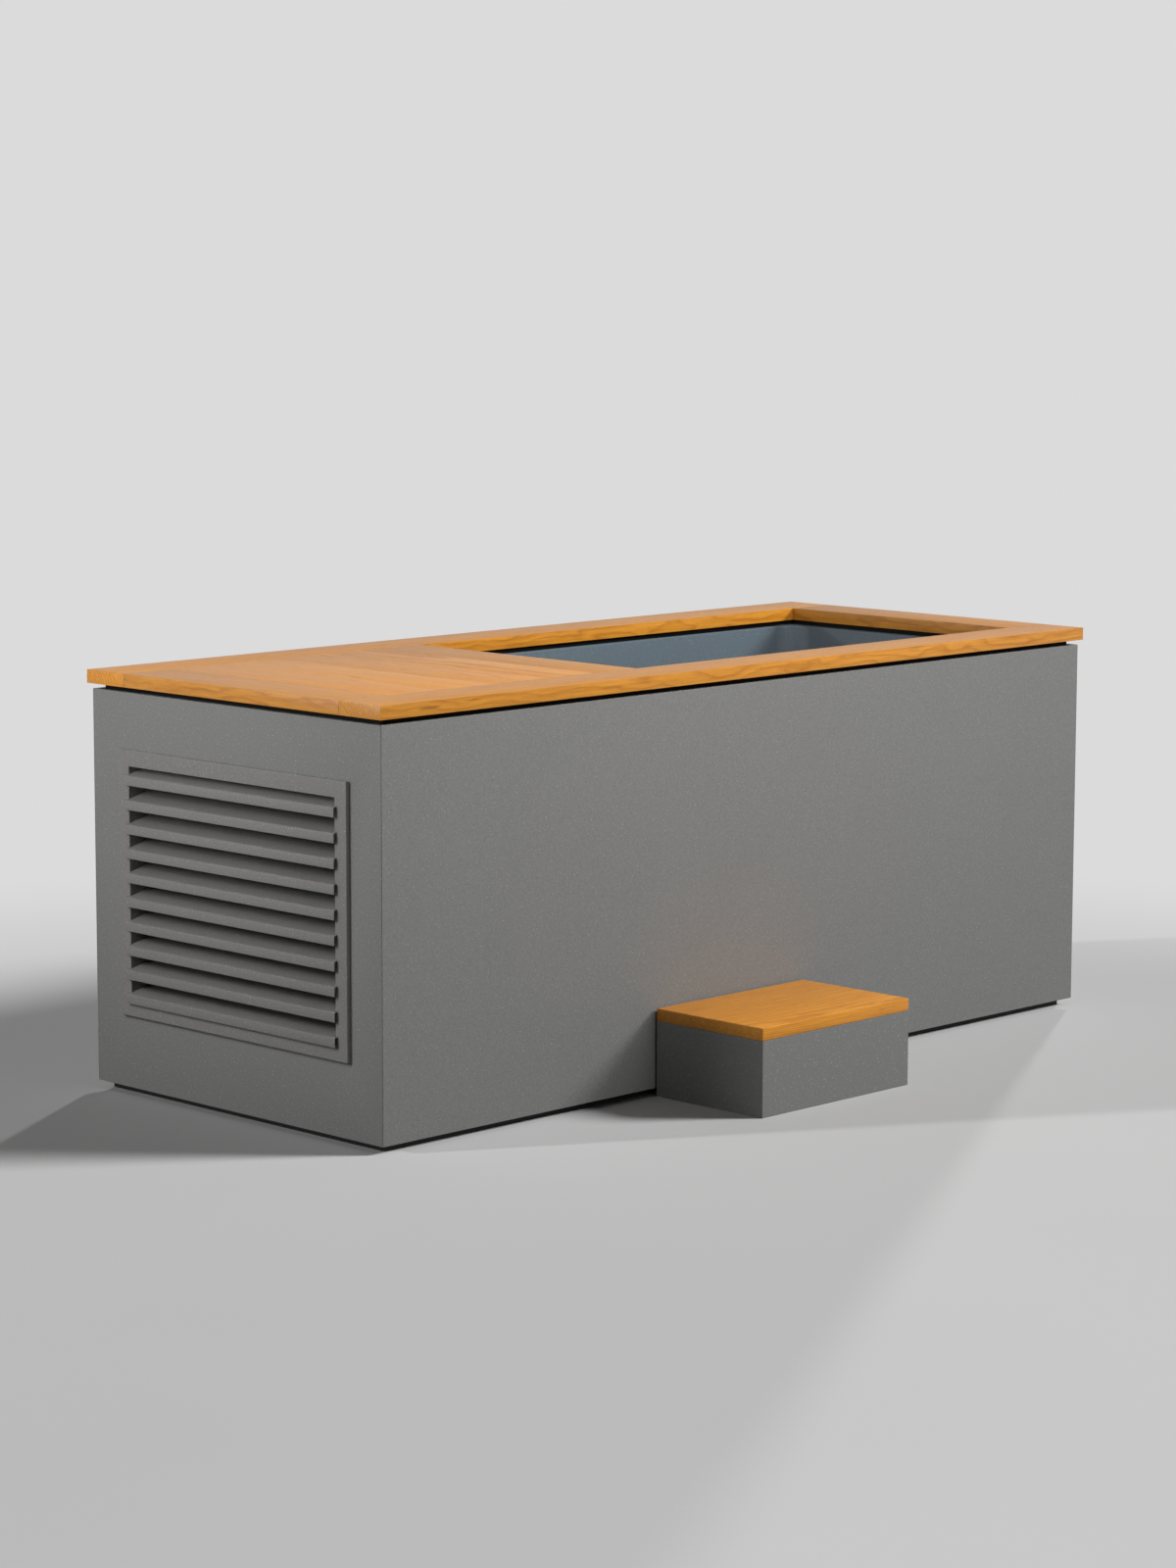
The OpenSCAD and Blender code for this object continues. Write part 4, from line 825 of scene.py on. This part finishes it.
def basin_levels(grow, top, rim):
    """Radius, lean and height of the basin's loops, from the upper edge to the floor."""
    low = BASIN_FLOOR - grow
    fillet = BASIN_FILLET + grow
    start = top - rim
    levels = []
    for i in range(RIM_STEPS if rim else 0):
        a = math.radians(90 * i / RIM_STEPS)
        levels.append((BASIN_CORNER + rim * (1 - math.sin(a)), 0.0, top - rim * (1 - math.cos(a))))
    for i in range(WALL_STEPS + 1):
        t = i / WALL_STEPS
        height = start + (low + fillet - start) * t
        levels.append((BASIN_CORNER + grow, BASIN_DRAFT * t, height))
    for i in range(1, FILLET_STEPS + 1):
        a = math.radians(90 * i / FILLET_STEPS)
        radius = BASIN_CORNER + grow - fillet + fillet * math.cos(a)
        levels.append((radius, BASIN_DRAFT, low + fillet * (1 - math.sin(a))))
    return levels


def basin_moulding():
    """The basin's inner and outer skin, joined by the flange round the upper edge."""
    low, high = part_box("basin")
    box = (
        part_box("bridge_board")[1].x - BASIN_REVEAL,
        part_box("right_end_board")[0].x + BASIN_REVEAL,
        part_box("back_rail")[0].y + BASIN_REVEAL,
    )
    mesh = bmesh.new()

    def skin(levels):
        """The walls and floor through the levels; it returns the upper loop."""
        loops = [[mesh.verts.new(p) for p in basin_loop(box, *level)] for level in levels]
        for above, below in zip(loops, loops[1:]):
            add_band(mesh, above, below)
        mesh.faces.new(loops[-1])
        return loops[0]

    def lip(loop, z):
        """One face of the flange, from a loop out to four corners, which it returns."""
        corners = [
            mesh.verts.new((x, y, z))
            for x, y in ((high.x, high.y), (low.x, high.y), (low.x, low.y), (high.x, low.y))
        ]
        count = CORNER_STEPS + 1
        for k, corner in enumerate(corners):
            part = loop[k * count:(k + 1) * count]
            for a, b in zip(part, part[1:]):
                mesh.faces.new((a, b, corner))
            beyond = loop[(k + 1) * count % len(loop)]
            mesh.faces.new((part[-1], beyond, corners[(k + 1) % 4], corner))
        return corners

    under = high.z - BASIN_FLANGE
    inside = skin(basin_levels(0.0, high.z, sizes().basin_rim))
    outside = skin(basin_levels(BASIN_WALL, under, 0.0))
    add_band(mesh, lip(inside, high.z), lip(outside, under))
    bmesh.ops.recalc_face_normals(mesh, faces=mesh.faces)
    return mesh


def drill_holes(shell):
    """Drills the holes for the three fittings."""
    cutters = bmesh.new()
    for node, axis in (("suction_fitting", 0), ("return_fitting", 0), ("drain_fitting", 2)):
        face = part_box(node)[1][axis]
        ends = [(face + at, FITTING_HOLE) for at in FITTING_CUT]
        add_lathe(cutters, ends, axle_of(node, axis), axis, 48)
    bmesh.ops.recalc_face_normals(cutters, faces=cutters.faces)
    drill = placed("drill", plain(cutters, "drill"))
    cut = shell.modifiers.new("Holes", "BOOLEAN")
    cut.object = drill
    cut.operation = "DIFFERENCE"
    cut.solver = "EXACT"
    bpy.context.view_layer.update()
    result = applied(shell)
    shell.modifiers.clear()
    shell.data = result
    bpy.data.objects.remove(drill)


class TUB_OT_basin(bpy.types.Operator):
    """Mould the basin with its rounded rim, and fit its three wall fittings and nuts"""

    bl_idname = "tub.basin"
    bl_label = "Basin"

    def execute(self, context):
        drill_holes(piece("basin_moulding", basin_moulding(), "basin_shell", "basin"))
        parts(1.2, "suction_fitting", "return_fitting", "drain_fitting")
        parts(1.0, "fitting_nuts")
        return {"FINISHED"}


# Carcass


class TUB_OT_carcass(bpy.types.Operator):
    """Finish the plinth, spacer, steel frame, floor board, bulkhead, foam and bolts"""

    bl_idname = "tub.carcass"
    bl_label = "Carcass"

    def execute(self, context):
        parts(1.0, "plinth")
        parts(0.5, "deck_spacer")
        parts(1.0, "base_frame", "frame_posts", "top_frame")
        parts(0.6, "floor_board", "bulkhead")
        parts(1.5, "foam_insulation")
        parts(0.3, "deck_bolts")
        return {"FINISHED"}


# Water circuit

MOTOR_RADIUS = 0.060  # of the casting, over its fins
MOTOR_COVER = 0.020  # length of the fan cover
MOTOR_FLANGE = 0.010  # thickness of the flange
MOTOR_FIN = 0.0012  # half the thickness of a cooling fin
FIN_ENDS = (0.006, 0.008)  # from the fan cover and from the flange
FIN_EDGES = (0.010, 0.0005)  # root and crest, inwards from the casting's radius
PEDESTAL_HALF = 0.050
PEDESTAL_INSET = 0.030
PEDESTAL_SINK = 0.030  # how far it goes up into the casting


def pump_motor():
    """The pump's motor: a ribbed casting between its flange and fan cover, on a pedestal."""
    low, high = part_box("pump_motor")
    axle = axle_of("pump_rotor", 0)
    cover = low.x + MOTOR_COVER
    face = high.x - MOTOR_FLANGE
    flange = (high.y - low.y) / 2
    crown = axle.z + MOTOR_RADIUS
    shoulder = axle.z - MOTOR_RADIUS + PEDESTAL_SINK
    mesh = bmesh.new()
    profile = (
        outline(low.x, MOTOR_RADIUS, (0, -10), (1, -6), (5, 1), (10, 3))
        + outline(cover, MOTOR_RADIUS, (0, 3), (0.5, -4), (4, -7))
        + outline(face, MOTOR_RADIUS, (-6, -7), (0, -3))
        + outline(face, flange, (0.2, -2), (2, 0))
        + outline(high.x, flange, (-1.5, 0), (0, -1.5))
    )
    add_lathe(mesh, profile, axle, 0)
    add_box(
        mesh,
        (cover + PEDESTAL_INSET, axle.y - PEDESTAL_HALF, low.z),
        (face - PEDESTAL_INSET, axle.y + PEDESTAL_HALF, shoulder),
    )
    fin = bmesh.new()
    add_box(
        fin,
        (cover + FIN_ENDS[0], axle.y - MOTOR_FIN, crown - FIN_EDGES[0]),
        (face - FIN_ENDS[1], axle.y + MOTOR_FIN, crown - FIN_EDGES[1]),
    )
    ease(fin, MOTOR_FIN / 2)
    mesh.from_mesh(in_row(fin, "motor_blue", sizes().motor_fins, axle=axle))
    piece("pump_motor_casting", mesh, "motor_blue", "pump_motor")


class TUB_OT_water(bpy.types.Operator):
    """Finish the valves, pump, filter and pipes"""

    bl_idname = "tub.water"
    bl_label = "Water circuit"

    def execute(self, context):
        for side in ("suction", "return", "drain"):
            parts(1.5, side + "_valve_body")
            parts(0.4, side + "_valve_ball")
            parts(2.0, side + "_valve_handle", segments=3)
        parts(2.0, "pump_casing", segments=3)
        pump_motor()
        parts(0.4, "pump_rotor")
        parts(0.6, "discharge_pipe", "transfer_pipe", "return_pipe", "drain_pipes")
        parts(1.5, "filter_housing", segments=3)
        parts(0.5, "filter_cartridge")
        parts(2.0, "filter_lid", segments=3)
        return {"FINISHED"}


# Chiller

COIL_PLATE = 0.003  # thickness of the side plates
COIL_FOOT = 0.120  # how far the side plates go down below the fins
COIL_ROWS = 4
COIL_TUBE = 0.005  # radius of the tubes
COIL_INSET = 0.002  # from the plates' outer faces to the tubes' ends
COIL_MARGIN = 0.010  # from the fins' ends to the first and last tube
COIL_FIN = 0.00015  # half the thickness of a fin
COIL_CLEAR = 0.010  # width that the row of fins leaves free
FAN_NOSE = 0.001  # how far the hub lies behind the front of its node
FAN_HUB = 0.048
FAN_DEEP = 0.030  # depth of the hub
FAN_SHAFT = 0.005  # radius of the collar on the shaft
FAN_BLADES = 5
BLADE_ROOT = 0.080  # chord at the hub
BLADE_SPREAD = 0.030  # how much wider the tip is
BLADE_PITCH = 38  # degrees at the hub
BLADE_TWIST = 16  # degrees less at the tip
BLADE_RISE = 0.55  # share of the chord's slant that goes along the axle
BLADE_CAMBER = 0.004
BLADE_ROUND = 0.3  # how strongly the tip's corners are cut back
BLADE_STRAIGHT = 0.2  # half of the tip's straight share
BLADE_NEAR = 0.05  # least radius at which the chord is bent round the axle
BLADE_SINK = 0.004  # how far the root goes into the hub
BLADE_HALF = 0.001  # half the thickness
BLADE_ROWS = 10
BLADE_COLUMNS = 16


def blade_point(axle, reach, middle, i, j):
    """One point of the fan's first blade, on the row i from the hub and the column j across."""
    t = i / BLADE_ROWS
    s = j / BLADE_COLUMNS - 0.5
    root = FAN_HUB - BLADE_SINK
    chord = BLADE_ROOT + BLADE_SPREAD * t
    pitch = math.radians(BLADE_PITCH - BLADE_TWIST * t)
    cut_back = BLADE_ROUND * max(0.0, abs(s) - BLADE_STRAIGHT) ** 2 * t ** 4
    radius = root + (reach - root) * t - cut_back
    x = middle + chord * s * math.sin(pitch) * BLADE_RISE + BLADE_CAMBER * (1 - 4 * s * s)
    angle = chord * s * math.cos(pitch) / max(radius, BLADE_NEAR)
    return x, axle.y + radius * math.sin(angle), axle.z + radius * math.cos(angle)


def fan_blade(axle, reach, middle):
    """The fan's first blade: two curved faces, joined round the edge."""
    mesh = bmesh.new()

    def corner(half, i, j):
        return mesh.verts.new(blade_point(axle, reach, middle + half, i, j))

    grid = [
        [[corner(half, i, j) for j in range(BLADE_COLUMNS + 1)] for i in range(BLADE_ROWS + 1)]
        for half in (-BLADE_HALF, BLADE_HALF)
    ]
    for i in range(BLADE_ROWS):
        for j in range(BLADE_COLUMNS):
            for g in grid:
                mesh.faces.new((g[i][j], g[i][j + 1], g[i + 1][j + 1], g[i + 1][j]))
    edge = (
        [(0, j) for j in range(BLADE_COLUMNS)]
        + [(i, BLADE_COLUMNS) for i in range(BLADE_ROWS)]
        + [(BLADE_ROWS, j) for j in range(BLADE_COLUMNS, 0, -1)]
        + [(i, 0) for i in range(BLADE_ROWS, 0, -1)]
    )
    add_band(mesh, *[[g[i][j] for i, j in edge] for g in grid])
    bmesh.ops.recalc_face_normals(mesh, faces=mesh.faces)
    return mesh


def finned_coil():
    """Two side plates, four tube rows and a close row of thin fins."""
    low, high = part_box("condenser_coil")
    bottom, top = low.z + COIL_FOOT, high.z
    tubes = bmesh.new()
    for y in (low.y, high.y - COIL_PLATE):
        add_box(tubes, (low.x, y, low.z), (high.x, y + COIL_PLATE, high.z))
    ends = [(low.y + COIL_INSET, COIL_TUBE), (high.y - COIL_INSET, COIL_TUBE)]
    for i in range(COIL_ROWS):
        rise = i * (top - bottom - 2 * COIL_MARGIN) / (COIL_ROWS - 1)
        centre = Vector(((low.x + high.x) / 2, 0, bottom + COIL_MARGIN + rise))
        add_lathe(tubes, ends, centre, 1, 16)
    bmesh.ops.recalc_face_normals(tubes, faces=tubes.faces)
    pitch = sizes().fin_pitch
    count = int((high.y - low.y - COIL_CLEAR) / pitch)
    start = (low.y + high.y) / 2 - pitch * (count - 1) / 2
    fin = bmesh.new()
    add_box(fin, (low.x, start - COIL_FIN, bottom), (high.x, start + COIL_FIN, top))
    tubes.from_mesh(in_row(fin, "coil_aluminium", count, (0, pitch, 0)))
    piece("coil_finned", tubes, "coil_aluminium", "condenser_coil")


def fan_moulding():
    """The fan: a domed hub on its shaft, and a ring of curved blades."""
    low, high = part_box("condenser_fan")
    axle = axle_of("fan_motor", 0)
    nose = low.x + FAN_NOSE
    back = nose + FAN_DEEP
    mesh = bmesh.new()
    profile = (
        outline(nose, FAN_HUB, (0, -20), (1, -6), (4, -1), (8, 0))
        + outline(back, FAN_HUB, (-4, 0), (-0.5, -4))
        + [(back, FAN_SHAFT), (high.x, FAN_SHAFT)]
    )
    add_lathe(mesh, profile, axle, 0)
    blade = fan_blade(axle, high.z - axle.z, nose + FAN_DEEP / 2)
    mesh.from_mesh(in_row(blade, "fan_black", FAN_BLADES, axle=axle))
    piece("fan_moulding", mesh, "fan_black", "condenser_fan")


class TUB_OT_chiller(bpy.types.Operator):
    """Finish the coil, fan, compressor, heat exchanger and copper lines"""

    bl_idname = "tub.chiller"
    bl_label = "Chiller"

    def execute(self, context):
        finned_coil()
        parts(0.8, "fan_shroud")
        parts(1.5, "fan_motor")
        fan_moulding()
        parts(2.5, "compressor", segments=3)
        parts(2.0, "heat_exchanger", segments=3)
        parts(0.5, "refrigerant_lines")
        return {"FINISHED"}


# Controls


class TUB_OT_controls(bpy.types.Operator):
    """Finish the control box, its isolator knob and the cable gland"""

    bl_idname = "tub.controls"
    bl_label = "Controls"

    def execute(self, context):
        parts(2.5, "control_box", segments=3)
        parts(1.5, "isolator_knob", segments=3)
        parts(0.8, "cable_gland")
        return {"FINISHED"}


# Step


class TUB_OT_step(bpy.types.Operator):
    """Finish the loose step: clad boards, corner blocks and timber tread"""

    bl_idname = "tub.step"
    bl_label = "Step"

    def execute(self, context):
        eased(sizes().panel_ease, "step_boards")
        eased(sizes().board_ease, "step_tread", segments=3, key="tread_timber")
        parts(1.0, "step_blocks")
        return {"FINISHED"}


# Studio

KEY_PLACE = (8.4, -7.4, 6.7)
LEFT_WAY = (-0.862, 0.507, 0.25)

# What the lamp's light falls on, its setting, place, the point that it looks at, and its
# size: width and height of an area lamp, and for a distant one its width in degrees
LAMPS = {
    "key": ("tub", "key_power", KEY_PLACE, (0.0, 0.0, 0.4), (3.4, 3.4)),
    "wide": ("floor", "floor_light", KEY_PLACE, (0, 0, 0), 15),
    "end": ("tub", "end_power", (-2.75, 0.3, 1.75), (-1.05, 0.0, 0.6), (0.8, 0.8)),
    "level": ("tub", "louvre_power", (-2.4, 0.25, 1.0), (-1.05, 0.0, 0.75), (1.0, 0.3)),
    "top": ("tub", "top_power", (-0.1, -2.2, 2.4), (-0.1, -0.4, 0.5), (3.2, 0.6)),
    "left": ("tub", "left_light", LEFT_WAY, (0, 0, 0), 2.6),
    "left_floor": ("floor", "left_floor", LEFT_WAY, (0, 0, 0), 2.6),
    "right": ("floor", "right_light", (0.862, 0.507, 0.2), (0, 0, 0), 2.6),
}
FLOOR_RADIUS = 14
FADE_CENTRE = 1.5  # how far the fade's middle lies from the tub's, to -X and to -Y
FADE_START = 2.95
FADE_END = 4.7


def pale_floor():
    """A round pale floor, which fades into the background away from the tub."""
    pale = linear(colours().floor)
    ground = Finish("studio_floor", pale, 0.6, gloss=0.0)
    x, y = [axis + FADE_CENTRE for axis in ground.split()[:2]]
    far = (x * x + y * y).math("SQRT")
    fade = ground.level(far, FADE_START, FADE_END)
    fade = fade * fade * (3 - 2 * fade)
    tint = ground.tones(ground.noise(1.2, 2), 0.985, 1.015)
    sight = ground.seen()
    ground.feed("Base Color", ground.mix(sight, shade(pale, 0.3), tint))
    glow = ground.node("ShaderNodeEmission", None, {"Color": linear(colours().background)})
    inputs = {0: fade * sight, 1: ground.shader.outputs["BSDF"], 2: glow}
    both = ground.node("ShaderNodeMixShader", None, inputs)
    ground.put(ground.output.inputs["Surface"], both)
    mesh = bmesh.new()
    bmesh.ops.create_circle(mesh, cap_ends=True, radius=FLOOR_RADIUS, segments=96)
    floor = placed("studio_floor", plain(mesh, "studio_floor"))
    floor.data.materials.append(ground.material)
    return floor


def lit_group(state, floor):
    """A collection that lets a lamp fall on the floor alone, or on all but the floor."""
    group = bpy.data.collections.new("lit_" + state.lower())
    group.objects.link(floor)
    group.collection_objects[0].light_linking.link_state = state
    return group


def hang_lamp(name, setting, place, aim, size):
    """Hangs an area or distant lamp, which isn't seen itself."""
    distant = not isinstance(size, tuple)
    data = bpy.data.lights.new(name, "SUN" if distant else "AREA")
    data.energy = getattr(studio(), setting)
    if distant:
        data.angle = math.radians(size)
    else:
        data.shape = "RECTANGLE"
        data.size, data.size_y = size
    lamp = placed(name, data)
    lamp.location = place
    way = Vector(aim) - Vector(place)
    lamp.rotation_euler = way.to_track_quat("-Z", "Y").to_euler()
    lamp.visible_camera = False
    return lamp


def set_world():
    """White light from all round, and the plain background that the camera sees."""
    world = bpy.data.worlds.new("studio")
    bpy.context.scene.world = world
    world.use_nodes = True
    sky = Wiring(world.node_tree)
    around = {"Color": (1, 1, 1), "Strength": studio().ambient}
    light = sky.node("ShaderNodeBackground", None, around)
    back = sky.node("ShaderNodeBackground", None, {"Color": linear(colours().background)})
    both = sky.node("ShaderNodeMixShader", None, {0: sky.seen(), 1: light, 2: back})
    sky.node("ShaderNodeOutputWorld", None, {"Surface": both}, None)


def set_camera():
    """The photograph's camera: its place, direction, roll and lens."""
    seat = studio()
    place = Matrix.Translation(Vector(seat.camera_place))
    yaw = Matrix.Rotation(-seat.camera_yaw, 4, "Z")
    pitch = Matrix.Rotation(math.pi / 2 + seat.camera_pitch, 4, "X")
    roll = Matrix.Rotation(seat.camera_roll, 4, "Z")
    data = bpy.data.cameras.new("camera")
    data.lens = seat.camera_lens
    data.sensor_width = 36
    data.clip_end = 60
    camera = placed("camera", data)
    camera.matrix_world = place @ yaw @ pitch @ roll
    bpy.context.scene.camera = camera


class TUB_OT_stage(bpy.types.Operator):
    """Set the pale floor, the studio lamps, the world and the camera"""

    bl_idname = "tub.stage"
    bl_label = "Studio"

    def execute(self, context):
        floor = pale_floor()
        lit = {"floor": lit_group("INCLUDE", floor), "tub": lit_group("EXCLUDE", floor)}
        for name, (target, *setting) in LAMPS.items():
            lamp = hang_lamp(name, *setting)
            lamp.visible_glossy = name != "key"
            lamp.light_linking.receiver_collection = lit[target]
        set_world()
        set_camera()
        context.scene.view_settings.view_transform = "Standard"
        return {"FINISHED"}


# Panel and registration

STEPS = (
    TUB_OT_stage, TUB_OT_cladding, TUB_OT_louvre, TUB_OT_deck, TUB_OT_hatch, TUB_OT_basin,
    TUB_OT_carcass, TUB_OT_water, TUB_OT_chiller, TUB_OT_controls, TUB_OT_step,
)


class TUB_PT_finishes(bpy.types.Panel):
    """Sidebar panel with the tub's colours, sizes and steps"""

    bl_idname = "TUB_PT_finishes"
    bl_label = "Cold plunge tub"
    bl_space_type = "VIEW_3D"
    bl_region_type = "UI"
    bl_category = "Tub"

    def draw(self, context):
        for step in STEPS:
            self.layout.operator(step.bl_idname)
        for name, group in GROUPS.items():
            box = self.layout.box()
            for item in group.__annotations__:
                box.prop(getattr(context.scene, name), item)


CLASSES = (*GROUPS.values(), *STEPS, TUB_PT_finishes)


def register():
    """Registers the classes and hangs the property groups on the scene."""
    for item in CLASSES:
        bpy.utils.register_class(item)
    for name, group in GROUPS.items():
        setattr(bpy.types.Scene, name, bpy.props.PointerProperty(type=group))


def unregister():
    """Takes the property groups and classes away again."""
    for name in GROUPS:
        delattr(bpy.types.Scene, name)
    for item in reversed(CLASSES):
        bpy.utils.unregister_class(item)


def main():
    register()
    for step in STEPS:
        getattr(bpy.ops.tub, step.bl_idname.removeprefix("tub."))()


if __name__ == "__main__":
    main()
